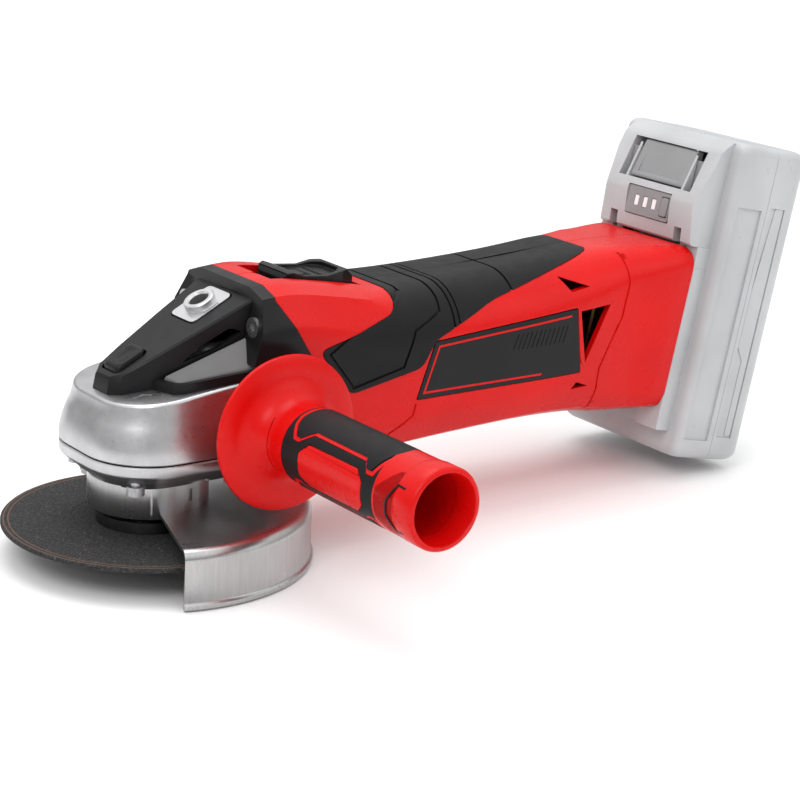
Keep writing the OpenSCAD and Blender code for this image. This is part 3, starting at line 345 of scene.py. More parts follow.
def bumps(shader, layers):
    """Chains bump nodes; each layer is (height, strength, depth in millimetres)."""
    nodes, links = tree_of(shader.inputs["Normal"])
    normal = None
    for height, strength, depth in layers:
        bump = nodes.new("ShaderNodeBump")
        bump.inputs["Strength"].default_value = strength
        bump.inputs["Distance"].default_value = depth * MM
        links.new(height, bump.inputs["Height"])
        if normal:
            links.new(normal, bump.inputs["Normal"])
        normal = bump.outputs["Normal"]
    links.new(normal, shader.inputs["Normal"])


def moulded(name, first, second, roughness, grain=2200, depth=0.03, coat=0.0, wander=0.05,
            gloss=0.4):
    """Moulded plastic or rubber: faint colour drift, uneven gloss and a fine eroded grain."""
    material, links, shader, where = new_material(name, roughness)
    shader.inputs["Specular IOR Level"].default_value = gloss
    cloud = noise(where, 28, 3)
    fine = noise(where, grain, 3)
    links.new(colour_between(cloud, first, second), shader.inputs["Base Color"])
    links.new(spread(noise(where, 160, 5), roughness - wander,
                     roughness + wander), shader.inputs["Roughness"])
    shader.inputs["Coat Weight"].default_value = coat
    shader.inputs["Coat Roughness"].default_value = 0.25
    bumps(shader, [(cloud, 0.25, 0.12), (fine, 0.5, depth)])
    return material


def cast_metal(name, first, second, roughness, grain=1500, depth=0.03):
    """Die-cast and blasted metal: sandy grain, slow dents and cloudy gloss."""
    material, links, shader, where = new_material(name, roughness, 1.0)
    cloud = noise(where, 22, 4)
    sand = noise(where, grain, 5)
    links.new(colour_between(noise(where, 90, 6), first, second),
              shader.inputs["Base Color"])
    links.new(spread(sand, roughness - 0.07, roughness + 0.08), shader.inputs["Roughness"])
    bumps(shader, [(cloud, 0.35, 0.25), (sand, 0.6, depth)])
    return material


def brushed_metal(name, first, second, roughness, stretch, depth=0.012):
    """Metal with fine machining or brushing lines, drawn out along one axis."""
    material, links, shader, where = new_material(name, roughness, 1.0)
    lines = noise(where, 900, 3, stretch)
    cloud = noise(where, 30, 4)
    links.new(colour_between(lines, first, second), shader.inputs["Base Color"])
    links.new(spread(cloud, roughness - 0.05, roughness + 0.08), shader.inputs["Roughness"])
    bumps(shader, [(cloud, 0.3, 0.1), (lines, 0.5, depth)])
    return material


def radius_of(where):
    """Distance from the spindle axis, in metres."""
    nodes, links = tree_of(where)
    flat = nodes.new("ShaderNodeVectorMath")
    flat.operation = "MULTIPLY"
    flat.inputs[1].default_value = (1, 1, 0)
    links.new(where, flat.inputs[0])
    length = nodes.new("ShaderNodeVectorMath")
    length.operation = "LENGTH"
    links.new(flat.outputs["Vector"], length.inputs[0])
    return length.outputs["Value"]


def abrasive_material():
    """Resin-bonded grit: dark grey speckle with lighter grains, and two thin rings at the rim."""
    material, links, shader, where = new_material("abrasive", 0.85)
    nodes = material.node_tree.nodes
    grit = nodes.new("ShaderNodeTexVoronoi")
    grit.inputs["Scale"].default_value = 1500
    links.new(where, grit.inputs["Vector"])
    speck = noise(where, 1100, 4)
    base = colour_between(speck, (0.006, 0.006, 0.007), (0.05, 0.048, 0.046), 0.42, 0.72)
    light = colour_between(grit.outputs["Color"], (0, 0, 0), (0.16, 0.15, 0.14), 0.86, 0.97)
    grains = nodes.new("ShaderNodeMix")
    grains.data_type, grains.blend_type = "RGBA", "ADD"
    grains.inputs["Factor"].default_value = 0.6
    links.new(base, grains.inputs["A"])
    links.new(light, grains.inputs["B"])
    rings = nodes.new("ShaderNodeValToRGB")
    stops = rings.color_ramp
    stops.elements[0].position, stops.elements[0].color = 0.0, (0, 0, 0, 1)
    stops.elements[1].position, stops.elements[1].color = 1.0, (0, 0, 0, 1)
    for position, value in ((0.940, 0), (0.944, 1), (0.949, 1), (0.953, 0), (0.972, 0), (0.976, 1),
                            (0.981, 1), (0.985, 0)):
        stops.elements.new(position).color = (value, value, value, 1)
    share = nodes.new("ShaderNodeMath")
    share.operation = "DIVIDE"
    share.inputs[1].default_value = span("cutting_disc")[1].x * MM
    links.new(radius_of(where), share.inputs[0])
    links.new(share.outputs["Value"], rings.inputs["Fac"])
    rim = nodes.new("ShaderNodeMix")
    rim.data_type = "RGBA"
    links.new(rings.outputs["Color"], rim.inputs["Factor"])
    links.new(grains.outputs["Result"], rim.inputs["A"])
    rim.inputs["B"].default_value = (0.13, 0.07, 0.045, 1)
    links.new(rim.outputs["Result"], shader.inputs["Base Color"])
    bumps(shader, [(grit.outputs["Distance"], 0.6, 0.25), (speck, 0.8, 0.15)])
    return material


def frosted_material(name, first, second):
    """Pale frosted plastic."""
    material = moulded(name, first, second, 0.32, grain=900, depth=0.015, coat=0.15)
    shader = material.node_tree.nodes["Principled BSDF"]
    shader.inputs["Subsurface Weight"].default_value = 0.15
    shader.inputs["Subsurface Radius"].default_value = (0.004, 0.004, 0.004)
    return material


MATERIALS = {
    "red_plastic": moulded("red_plastic", (0.56, 0.0015, 0.0015), (0.64, 0.003, 0.002), 0.3, gloss=0.2),
    "black_plastic": moulded("black_plastic", (0.005, 0.005, 0.0055), (0.008, 0.008, 0.009), 0.33,
                             gloss=0.2),
    "black_rubber": moulded("black_rubber", (0.006, 0.006, 0.0065), (0.009, 0.009, 0.01), 0.48,
                            grain=3200, depth=0.04, gloss=0.16),
    "grey_plastic": moulded("grey_plastic", (0.1, 0.1, 0.1), (0.15, 0.15, 0.15), 0.45),
    "cast_aluminium": cast_metal("cast_aluminium", (0.46, 0.46, 0.47), (0.56, 0.56, 0.57), 0.34, 1500,
                                 0.018),
    "bright_metal": cast_metal("bright_metal", (0.62, 0.62, 0.63), (0.7, 0.7, 0.7), 0.34, 1200, 0.006),
    "guard_steel": brushed_metal("guard_steel", (0.42, 0.42, 0.42), (0.48, 0.48, 0.48), 0.3,
                                 (1, 1, 0.1), 0.004),
    "machine_steel": brushed_metal("machine_steel", (0.5, 0.5, 0.51), (0.6, 0.6, 0.6), 0.28,
                                   (1, 1, 0.15)),
    "dark_steel": cast_metal("dark_steel", (0.05, 0.05, 0.052), (0.09, 0.09, 0.09), 0.4),
    "screw_steel": brushed_metal("screw_steel", (0.3, 0.3, 0.31), (0.42, 0.42, 0.42), 0.32, (1, 1, 0.3)),
    "abrasive": abrasive_material(),
    "copper_wire": brushed_metal("copper_wire", (0.6, 0.22, 0.08), (0.78, 0.33, 0.14), 0.3, (0.1, 1, 1),
                                 0.05),
    "brass_parts": brushed_metal("brass_parts", (0.7, 0.5, 0.18), (0.8, 0.6, 0.25), 0.3, (1, 1, 0.2)),
    "magnet_grey": cast_metal("magnet_grey", (0.12, 0.12, 0.12), (0.18, 0.18, 0.18), 0.55),
    "carbon": moulded("carbon", (0.02, 0.02, 0.02), (0.035, 0.035, 0.035), 0.6, 1800, 0.06),
    "board_green": moulded("board_green", (0.01, 0.11, 0.04), (0.015, 0.16, 0.06), 0.35),
    "pale_plastic": frosted_material("pale_plastic", (0.42, 0.43, 0.44), (0.5, 0.51, 0.52)),
    "panel_grey": frosted_material("panel_grey", (0.24, 0.245, 0.25), (0.3, 0.305, 0.31)),
    "cell_wrap": moulded("cell_wrap", (0.02, 0.12, 0.2), (0.03, 0.16, 0.26), 0.3),
}


# ---- Body shell ----
# Stations along the body: x, half width, top, bottom, top corner, bottom corner, roundness
FRONT_Z = MOTOR_Z + 42
BODY_STATIONS = [
    (ADAPTER_X - 7, 32.4, FRONT_Z - 1.5, 34, 15, 14, 0),
    (BODY_X, 34, FRONT_Z, 31, 15, 14, 0),
    (70, 34, 104.7, 31.5, 16, 14, 0),
    (84, 33.8, 102.2, 31.8, 18, 14, 0.4),
    (98, 33.5, 99.8, 32, 20, 15, 1),
    (130.3, 33, 100.4, 33, 22, 16, 1),
    (172.6, 32.6, 102.4, 34.5, 22, 15, 1),
    (200, 31.4, 104.6, 34, 20, 13, 1),
    (214, 30.6, 105.4, 32.5, 17, 11, 1),
    (223, 30.6, 105.6, 32, 14, 10, 1)]
FOOT_STATION = (0, 32.8, FOOT_H, 0, 9, 9, 1)


def station_at(x):
    """The body's section at x, on a smooth curve through the stations."""
    s = BODY_STATIONS
    k = max(i for i in range(len(s) - 1) if s[i][0] <= x or i == 0)
    a, b = s[k], s[k + 1]
    t = (x - a[0]) / (b[0] - a[0])

    def slope(i, j):
        low, high = max(i - 1, 0), min(i + 1, len(s) - 1)
        return (s[high][j] - s[low][j]) / (s[high][0] - s[low][0]) * (b[0] - a[0])

    h = (2 * t ** 3 - 3 * t ** 2 + 1, t ** 3 - 2 * t ** 2 + t, -2 * t ** 3 + 3 * t ** 2, t ** 3 - t ** 2)
    return (x,) + tuple(h[0] * a[j] + h[1] * slope(k, j) + h[2] * b[j] + h[3] * slope(k + 1, j)
                        for j in range(1, 7))


def corner(first, knee, last, middle, radius, roundness, steps=10):
    """Corner that runs from two flat facets, meeting at the knee, to a round arc."""
    points = []
    for i in range(steps + 1):
        t = i / steps
        a = math.pi / 2 * t
        arc = (middle[0] + radius * math.cos(a) * math.copysign(1, first[0] - middle[0] or 1),
               middle[1] + radius * math.sin(a) * math.copysign(1, last[1] - middle[1] or 1))
        u = t / 0.6
        facet = (lerp(first[0], knee[0], u), lerp(first[1], knee[1], u)) if u <= 1 else (
            lerp(knee[0], last[0], (t - 0.6) / 0.4), lerp(knee[1], last[1], (t - 0.6) / 0.4))
        points.append((lerp(facet[0], arc[0], roundness), lerp(facet[1], arc[1], roundness)))
    return points


def section(s, inset):
    """Closed outline of the body at a station, as (y, z)."""
    w, top, low = s[1] - inset, s[2] - inset, s[3] + inset
    rt, rb = max(s[4] - inset, 1), max(s[5] - inset, 1)
    upper = corner((w, top - rt), (w - 0.4 * rt, top - 0.2 * rt), (w - rt, top),
                   (w - rt, top - rt), rt, s[6])
    lower = corner((w, low + rb), (w - 0.28 * rb, low + 0.36 * rb), (w - rb, low),
                   (w - rb, low + rb), rb, min(s[6], 0.25))
    side = [(w, lerp(top - rt, low + rb, i / 8)) for i in range(1, 8)]
    half = [(w * 0.22, top)] + upper[::-1] + side + lower + [(w * 0.22, low)]
    return half + [(-y, z) for y, z in half[::-1]]


def foot_ring(n, inset):
    return [tuple(FOOT_FRAME @ Vector((n, y, z))) for y, z in section(FOOT_STATION, inset)]


def body_form(inset, front=ADAPTER_X, back=0.0):
    """The whole body from the gear head to the foot's face, drawn in by a distance."""
    last = BODY_STATIONS[-1]
    xs = []
    x = front
    while x < last[0]:
        xs.append(x)
        x += 2.6
    rings = [[(x, y, z) for y, z in section(station_at(x), inset)] for x in xs]
    neck = [(last[0], y, z) for y, z in section(last, inset)]
    face = foot_ring(-back - 5, inset)
    for i in range(9):
        t = i / 8
        bend = t * t * (3 - 2 * t)
        rings.append([(lerp(p[0], q[0], t), lerp(p[1], q[1], bend), lerp(p[2], q[2], lerp(t, bend, 0.5)))
                      for p, q in zip(neck, face)])
    rings.append(foot_ring(-back, inset + 0.3))
    return loft("form", rings)


def sunk(outline, depth):
    """Cutter that follows the body's skin to a depth, inside a side outline."""
    return carve(prism("sunk", outline), body_form(depth))


GRIP = rounded([(98.8, 126), (98.8, 99), (95, 92.8), (56.2, 82.4), (71.6, 62.8), (107.9, 69.3),
                (113.8, 79.9), (145.6, 92.3), (201, 104), (216, 107), (216, 126)], 4.0)
PLATE = rounded([(113.8, 79.5), (105.3, 55.7), (194.9, 55.5), (190.9, 84.7)], 1.2)
VENTS = [[(183.5, 97.7), (188.5, 91.2), (198.5, 92.7)], [(192.9, 82.8), (197.3, 59.7), (210.2, 83.9)],
         [(192.9, 51.4), (189.8, 48.7), (199.4, 49)]]
# Line where the black adapter frame meets the red housing
ADAPTER_SIDE = [(20, 20), (20, 125), (38.5, 125), (38.5, 103.5), (55.5, 76), (55.5, 58), (46, 44),
                (46, 20)]
BODY_LINES = [
    [(219.5, 104), (220.6, 92), (217.5, 77), (206, 56), (204.7, 46), (203.5, 36)],
    [(105.3, 54.2), (104, 49.5), (97.5, 45.5), (88, 40), (84, 30)]]
GRIP_LINES = [[(103.4, 112), (103.4, 99), (97, 96.5), (80.1, 92.6), (60.8, 80.6), (73, 65.5), (98, 70.8),
               (103.6, 85.2), (117.6, 91), (118.8, 96), (118.8, 112)]]


def slider_room(gap, reach):
    x0, x1 = span("switch_slider")[0].x, span("switch_slider")[1].x
    half = span("switch_slider")[1].y + gap
    line = [(x, FRONT_Z - 0.17 * (x - BODY_X) - 3 - gap) for x in (x0 - gap - reach, x1 + gap)]
    return prism("slider_room", [line[0], line[1], (x1 + gap, 130), (x0 - gap - reach, 130)], -half, half)


def red_form():
    """The red housing as one piece, before it is split along the middle."""
    red = body_form(0)
    carve(red, body_form(3, 28, 3))
    carve(red, prism("front", ADAPTER_SIDE))
    carve(red, sunk(GRIP, 1.7))
    carve(red, sunk(PLATE, 1.3))
    for vent in VENTS:
        carve(red, prism("vent", vent))
    for line in BODY_LINES:
        carve(red, sunk(stroke(line, 0.9), 0.6))
    carve(red, slider_room(0.4, 7.4))
    carve(red, block("dock_hole", (-20, -18.3, 12), (5, 18.3, 58), FOOT_FRAME))
    return red


# How far the heads of the housing and pack screws sit below the CAD's, and their radii
HOUSING_DROP, HOUSING_SCREW_R = 5, 2.8
PACK_DROP, PACK_SCREW_R = 3, 2.7
SCREW_LENGTH, RECESS_GAP = 30, 0.3


def screw_places(node, outward):
    """Frames at the tops of a CAD node's screws, with z pointing outward."""
    mesh = bmesh.new()
    mesh.from_mesh(bpy.data.objects[node].data)
    bmesh.ops.remove_doubles(mesh, verts=mesh.verts, dist=0.01 * MM)
    left, tops = set(mesh.verts), []
    while left:
        solid, edge = [], [left.pop()]
        while edge:
            vert = edge.pop()
            solid.append(vert.co)
            near = {e.other_vert(vert) for e in vert.link_edges} & left
            left -= near
            edge += near
        height = max(point.dot(outward) for point in solid)
        rim = [point for point in solid if point.dot(outward) > height - 0.05 * MM]
        tops.append(sum(rim, Vector()) / len(rim) / MM)
    mesh.free()
    tops.sort(key=lambda top: tuple(round(v, 1) for v in top))
    turn = outward.to_track_quat("Z", "Y").to_matrix().to_4x4()
    return [Matrix.Translation(top) @ turn for top in tops]


def screw_set(name, node, body, places, drop, head_r):
    """Pan-head screws, set deeper than the CAD's so that the shell's corners cover them."""
    profile = [(0.01, -drop - SCREW_LENGTH), (1.5, -drop - SCREW_LENGTH), (1.5, -drop - 2),
               (head_r, -drop - 2),
               (head_r, -drop - 0.6), (head_r - 0.5, -drop), (1.3, -drop), (1.1, -drop - 1),
               (0.01, -drop - 1)]
    screws = [lathe(name, profile, place, 32) for place in places]
    for other in screws[1:]:
        carve(screws[0], other, "UNION")
    dress(screws[0], body, "screw_steel", [node], 0)


def recess_screws(shell, places, drop, head_r):
    """Round holes over the screw heads."""
    radius, floor, top = head_r + RECESS_GAP, -drop - 0.5, 20
    for place in places:
        hole = lathe("recess", [(0.01, floor), (radius, floor), (radius, top), (0.01, top)], place, 40)
        carve(shell, hole)


def halves(whole, name, gap=0.06):
    """Splits a piece along the middle of the tool."""
    pair = []
    for side, low, high in (("left", -80, -gap), ("right", gap, 80)):
        part = whole.copy()
        part.data = whole.data.copy()
        part.name = f"{name}_{side}_shell"
        bpy.context.scene.collection.objects.link(part)
        pair.append(carve(part, block("half", (-50, low, -40), (400, high, 200)), "INTERSECT"))
    bpy.data.objects.remove(whole)
    return pair


def housings():
    """Left and right halves of the red body, and their screws."""
    red = red_form()
    places = screw_places("housing_screws", Vector((0, 1, 0)))
    recess_screws(red, places, HOUSING_DROP, HOUSING_SCREW_R)
    screw_set("housing_screw_set", "housing_screws", "frame", places, HOUSING_DROP, HOUSING_SCREW_R)
    for part, node in zip(halves(red, "housing"), ("housing_left", "housing_right")):
        dress(part, "frame", "red_plastic", [node], 0.22)


def grips():
    """Rubber skins over the body, with grooves."""
    rubber = body_form(-0.35)
    carve(rubber, prism("outline", GRIP), "INTERSECT")
    carve(rubber, body_form(1.6, 28, 2))
    for line in GRIP_LINES:
        carve(rubber, sunk(stroke(line, 1.1), 0.6))
    for x, width in ((123.5, 0.9), (126.3, 0.7), (157, 1.0)):
        ring = block("ring", (x, -BEYOND, 60), (x + width, BEYOND, 130))
        carve(rubber, carve(ring, body_form(0.5)))
    for part, node in zip(halves(rubber, "grip", 0.03), ("grip_left", "grip_right")):
        dress(part, "frame", "black_rubber", [node], 0.25)


PLATE_TRIM = [(187.5, 81.5), (116.2, 77), (109.3, 58.3), (172, 58)]


def side_plates():
    """Black plates on both sides, with a red trim line."""
    plate = body_form(0)
    inner = rounded([(x + dx, z + dz) for (x, z), (dx, dz) in zip(
        [(113.8, 79.5), (105.3, 55.7), (194.9, 55.5), (190.9, 84.7)],
        [(0.3, -0.3), (0.4, 0.2), (-0.3, 0.2), (-0.2, -0.4)])], 1.0)
    carve(plate, prism("outline", inner), "INTERSECT")
    carve(plate, body_form(1.2, 28, 2))
    carve(plate, sunk(stroke(PLATE_TRIM, 1.0), 0.3))
    for i in range(12):
        x = 158 + 2.5 * i
        carve(plate, sunk(stroke([(x, 77.2 + 0.06 * i), (x - 2.6, 70.5)], 0.6), 0.25))
    dress(plate, "frame", "black_plastic", ["side_plates"], 0.2)
    plate.name = "side_plate_pair"
    trim = body_form(0.05)
    carve(trim, prism("line", stroke(PLATE_TRIM, 0.9)), "INTERSECT")
    carve(trim, body_form(0.5, 28, 2))
    trim.name = "side_plate_trim"
    dress(trim, "frame", "red_plastic", (), 0)


# ---- Gear head ----
def head_outline(nose_in, side_in, back, steps=16):
    """Plan of the gear head, drawn in at the nose and at the sides."""
    half, r = HEAD_HALF - side_in, 26 - side_in
    nose = NOSE_X + nose_in
    points = [(lerp(back, nose + r, i / 6), -half) for i in range(6)]
    for side in (-1, 1):
        arc = []
        for i in range(steps + 1):
            a = math.pi / 2 * i / steps
            arc.append((nose + r - r * math.sin(a), side * (half - r + r * math.cos(a))))
        points += arc if side < 0 else arc[::-1]
    return points + [(lerp(nose + r, back, (i + 1) / 6), half) for i in range(6)]


def head_ring(nose_in, side_in, back, z, slope=0.0):
    return [(x, y, z + slope * x) for x, y in head_outline(nose_in, side_in, back)]


def gear_head():
    """Cast gear housing, tapered towards its roof."""
    z = SEAM_Z
    rings = [head_ring(0.5, 0.5, HEAD_BACK, z + 0.1), head_ring(0, 0, HEAD_BACK, z + 0.6)]
    for rise, nose_in, side_in in ((3.5, 0, 0), (6, 0.45, 0.25), (9, 1.25, 0.7), (12, 2.2, 1.25),
                                   (15, 3.3, 1.9),
                                   (18, 4.5, 2.6)):
        rings.append(head_ring(nose_in, side_in, HEAD_BACK, z + rise, 0.12 * (rise / 22) ** 3))
    for i in range(6):
        a = math.pi / 2 * i / 5
        rings.append(head_ring(5.7 + 1.5 * (1 - math.cos(a)), 3.3 + 1.5 * (1 - math.cos(a)), HEAD_BACK,
                               ROOF_Z - 1.4 + 1.4 * math.sin(a), ROOF_SLOPE))
    head = loft("gear_head", rings)
    bulge = lathe("bulge", [(0.01, 5), (14.5, 5), (14.5, HEAD_BACK), (0.01, HEAD_BACK)],
                  Matrix.Translation((0, 0, MOTOR_Z)) @ Matrix.Rotation(math.pi / 2, 4, "Y"))
    carve(head, bulge, "UNION")
    back_plate = rounded([(-33.5, 33), (33.5, 33), (33.5, 75), (-33.5, 75)], 8, 6)
    plate = loft("plate", [[(x, y, z) for y, z in back_plate] for x in (HEAD_BACK - 6, HEAD_BACK)])
    carve(head, plate, "UNION")
    for side in (-1, 1):
        place = Matrix.Translation((HANDLE.x, side * (HEAD_HALF + 1), HANDLE.z)) @ Matrix.Rotation(
            side * math.pi / 2, 4, "X")
        carve(head, lathe("socket", [(0.01, -1), (4, -1), (4, 15), (0.01, 15)], place, 48))
    zig = [(-17.5, -16.6), (-12.2, -15.2), (-9.6, -18), (-1.5, -15.2)]
    mark = stroke(zig, 0.9)
    carve(head, loft("mark", [[(x, y, roof(x) + h) for x, y in mark] for h in (-0.6, 4)]))
    carve(head, lathe("pin_hole", [(0.01, 50), (2.6, 50), (2.6, 90), (0.01, 90)],
                      Matrix.Translation((-12, 0, 0)), 32))
    dress(head, "frame", "cast_aluminium", ["gear_housing"], 0.5)


def bearing_flange():
    """Flange under the gear housing, with the collar for the guard."""
    z = SEAM_Z - 0.5
    back = 31
    rings = [head_ring(7.9, 7.9, back - 5.6, z - 10.9), head_ring(7.2, 7.2, back - 5, z - 10.4),
             head_ring(4.6, 5.4, back - 2.5, z - 7.8), head_ring(3, 3.8, back - 1, z - 6.8),
             head_ring(1.2, 1.4, back, z - 5.2), head_ring(0.5, 0.6, back, z - 4.5),
             head_ring(0.1, 0.15, back, z - 3.6),
             head_ring(0.1, 0.15, back, z - 0.5), head_ring(0.6, 0.6, back, z)]
    flange = loft("bearing_flange_cast", rings)
    carve(flange, lathe("bore", [(0.01, 10), (17.5, 10), (17.5, 37), (24.5, 37), (24.5, 60), (0.01, 60)]))
    neck = lathe("neck", [(17.5, 20), (22, 20), (22.5, 20.5), (22.5, 36), (17.5, 36)])
    carve(flange, neck, "UNION")
    for angle in (-150, -75, 30, 105):
        turn = Matrix.Rotation(math.radians(angle), 4, "Z")
        carve(flange, block("notch", (21.5, -4, 33), (29, 4, 35.4), turn))
    for y in (-23, 23):
        carve(flange, lathe("screw_pocket", [(0.01, 20), (3.8, 20), (3.8, 36), (0.01, 36)],
                            Matrix.Translation((-19, y, 0)), 32))
    for y in (-27, 27):
        carve(flange, lathe("screw_pocket", [(0.01, 20), (3.8, 20), (3.8, 36), (0.01, 36)],
                            Matrix.Translation((22, y, 0)), 32))
    dress(flange, "frame", "cast_aluminium", ["bearing_flange"], 0.35)


def arc_points(cx, cz, r, a0, a1, n):
    return [(cx + r * math.cos(math.radians(lerp(a0, a1, i / n))),
             cz + r * math.sin(math.radians(lerp(a0, a1, i / n)))) for i in range(n + 1)]


def guard():
    """Pressed sheet with a rolled rim, and the collar that holds it."""
    top, low, r, t, bend = 22.0, -1.3, 65.0, 1.6, 4.2
    inner = 22.9
    outside = [(inner, top)] + arc_points(r - bend, top - bend, bend, 90, 0, 10) + [
        (r, low + 3.2), (r + 0.3, low + 2.6), (r + 1, low + 2), (r + 1.1, low + 1), (r + 0.7, low + 0.2),
        (r, low)]
    inside = [(r - t + 0.2, low + 0.2), (r - t, low + 0.8)] + arc_points(
        r - bend, top - bend, bend - t, 0, 90, 10) + [(inner, top - t)]
    sheet = lathe("guard_sheet", outside + inside, steps=120, start=-108, sweep=180)
    collar = lathe("collar", [(22.6, 20.1), (23.7, 20.1), (23.95, 20.5), (23.95, 33.1), (23.6, 33.5),
                              (22.6, 33.5)])
    carve(sheet, collar, "UNION")
    clamp = Matrix.Rotation(math.radians(100), 4, "Z")
    for side in (-1, 1):
        plan = [(23.2, side), (32.9, side), (32.9, side * 5), (23.2, side * 5)]
        ear = slab("ear", plan, 24, 32, clamp)
        carve(sheet, ear, "UNION")
    carve(sheet, block("slot", (20, -1, 22.5), (40, 1, 50), clamp))
    across = Matrix.Rotation(math.pi / 2, 4, "X")
    bolt = Matrix.Rotation(math.radians(100), 4, "Z") @ Matrix.Translation((28.95, 10, 28)) @ across
    carve(sheet, lathe("bolt_hole", [(0.01, 0), (2, 0), (2, 20), (0.01, 20)], bolt, 32))
    seam = Matrix.Rotation(math.radians(-117), 4, "Z")
    carve(sheet, block("seam", (23.5, -0.25, 22.5), (26, 0.25, 40), seam))
    slit = Matrix.Rotation(math.radians(-77), 4, "Z")
    carve(sheet, block("slit", (22, -0.9, 26), (26, 0.9, 31), slit))
    sheet.name = "guard_pressing"
    dress(sheet, "guard_body", "guard_steel", ["guard"], 0.25, 35)


def cutting_disc():
    """Flat abrasive disc."""
    low, high = span("cutting_disc")
    r, z0, z1 = high.x, low.z, high.z
    profile = [(11.1, z0), (14.5, z0), (15, z0 + 0.12), (r - 0.4, z0 + 0.12), (r, z0 + 0.5),
               (r, z1 - 0.5),
               (r - 0.4, z1 - 0.12), (r * 0.53, z1 - 0.12), (r * 0.52, z1 - 0.3), (r * 0.51, z1 - 0.12),
               (15, z1 - 0.12), (14.5, z1), (11.1, z1)]
    disc = lathe("abrasive_disc", profile, steps=180)
    dress(disc, "spindle_line", "abrasive", ["cutting_disc"], 0)
    disc.data.polygons.foreach_set("use_smooth", [False] * len(disc.data.polygons))


# ---- Ramp cover and adapter frame ----
def ramp_loop(points):
    return [(x, -y, z) for x, y, z in points] + [(x, y, z) for x, y, z in points[::-1]]


def ramp(inset, low_by=0.0):
    t = inset
    low = [(-22.3 + t, 5.5 - t), (-18.5 + t, 9.8 - t), (-8, 12.4 - t), (12, 17 - t),
           (ADAPTER_X + 1, 21 - t)]
    high = [(-21.3 + t, 5.2 - t), (-17.8 + t, 9 - t), (-8, 11.8 - t), (12, 16 - t),
            (ADAPTER_X + 1, 20 - t)]
    shoulder = [(x + (0.5 if i == 0 else 0.1), y - 0.7) for i, (x, y) in enumerate(high)]
    return loft("ramp", [ramp_loop([(x, y, roof(x) - 0.1 - low_by) for x, y in low]),
                         ramp_loop([(x, y, deck(x) - t - 0.8) for x, y in high]),
                         ramp_loop([(x, y, deck(x) - t) for x, y in shoulder])])


def wing(outline, low_by, rise):
    return loft("wing", [[(x, y, roof(x) - low_by) for x, y in outline],
                         [(x, y, roof(x) + rise) for x, y in outline]])


def top_cover():
    """Black cover on the gear head: ramp and wings."""
    cover = ramp(0)
    for side in (-1, 1):
        outer = [(-6.5, 12.5), (-3.5, 23.5), (0, 25.6), (29, 31.2),
                 (ADAPTER_X + 1, 31.2), (ADAPTER_X + 1, 18)]
        inner = [(-3.7, 11.5), (-1.6, 21.7), (1, 23.6), (29, 29.3),
                 (ADAPTER_X + 5, 29.3), (ADAPTER_X + 5, 17)]
        rim = wing([(x, side * y) for x, y in outer], 0.1, 3.8)
        carve(rim, wing([(x, side * y) for x, y in inner], 3, 6))
        carve(cover, rim, "UNION")
    hollow = ramp(2.5, 4)
    carve(hollow, block("solid_deck", (-13.2, -40, -5), (13.2, 40, 8), deck_frame(22.5)))
    carve(cover, hollow)
    vent = rounded([(5, MOTOR_Z + 13.3), (11.5, MOTOR_Z + 19), (24, MOTOR_Z + 26), (29.5, MOTOR_Z + 24.4),
                    (19, MOTOR_Z + 18)], 1.5)
    carve(cover, prism("vent", vent, -40, 40))
    carve(cover, slab("button_well", box_outline(-18.7, -4.6, -6.3, 6.3, 2.4), MOTOR_Z + 2, MOTOR_Z + 40))
    carve(cover, slab("insert_well", box_outline(-10.6, 10.6, -8.9, 8.9, 3), -3, 12, deck_frame(22.5)))
    carve(cover, lathe("boss_well", [(0.01, -12), (6.5, -12), (6.5, 8), (0.01, 8)], deck_frame(22.5), 64))
    cover.name = "ramp_cover_shell"
    dress(cover, "frame", "black_plastic", ["top_cover"], 0.45)


def air_guides():
    """Grey cheeks between the ramp and its wings, crowned along their length."""
    for side in (-1, 1):
        base = [(-3.4, 14.4), (ADAPTER_X, 21.6), (ADAPTER_X, 28.9), (29, 28.9), (1, 23.3), (-1.2, 21.4)]
        rise = [5.2, 15.5, 5.2, 4.4, 4.2, 4.2]
        rings = []
        for k in range(5):
            t = k / 4
            pull = 1.6 * t * t
            rings.append([(x + (0 if x > 30 else pull * 0.4), side * (lerp(y, 22, pull * 0.06)),
                           lerp(roof(x), roof(x) + h, t)) for (x, y), h in zip(base, rise)])
        cheek = loft("air_guide_left" if side < 0 else "air_guide_right", rings)
        nodes = ["air_guide"] if side < 0 else []
        dress(cheek, "frame", "grey_plastic", nodes, 0.8)


def handle_insert():
    """Silver socket plate in the deck."""
    place = deck_frame(22.5)
    plate = slab("socket_insert", box_outline(-10.1, 10.1, -8.4, 8.4, 2.8), -3, 0.6, place)
    boss = lathe("boss", [(0.01, -12), (6.4, -12), (6.4, 3.0), (6.0, 3.4), (0.01, 3.4)], place, 64)
    carve(plate, boss, "UNION")
    carve(plate, lathe("bore", [(0.01, -14), (4, -14), (4, 2.6), (4.9, 4), (0.01, 4)], place, 48))
    for side in (-1, 1):
        slot = box_outline(-3.6, 3.6, side * 7.4 - 0.45, side * 7.4 + 0.45, 0.4)
        carve(plate, slab("relief", slot, 0, 4, place))
    dress(plate, "frame", "bright_metal", ["handle_insert"], 0.45)


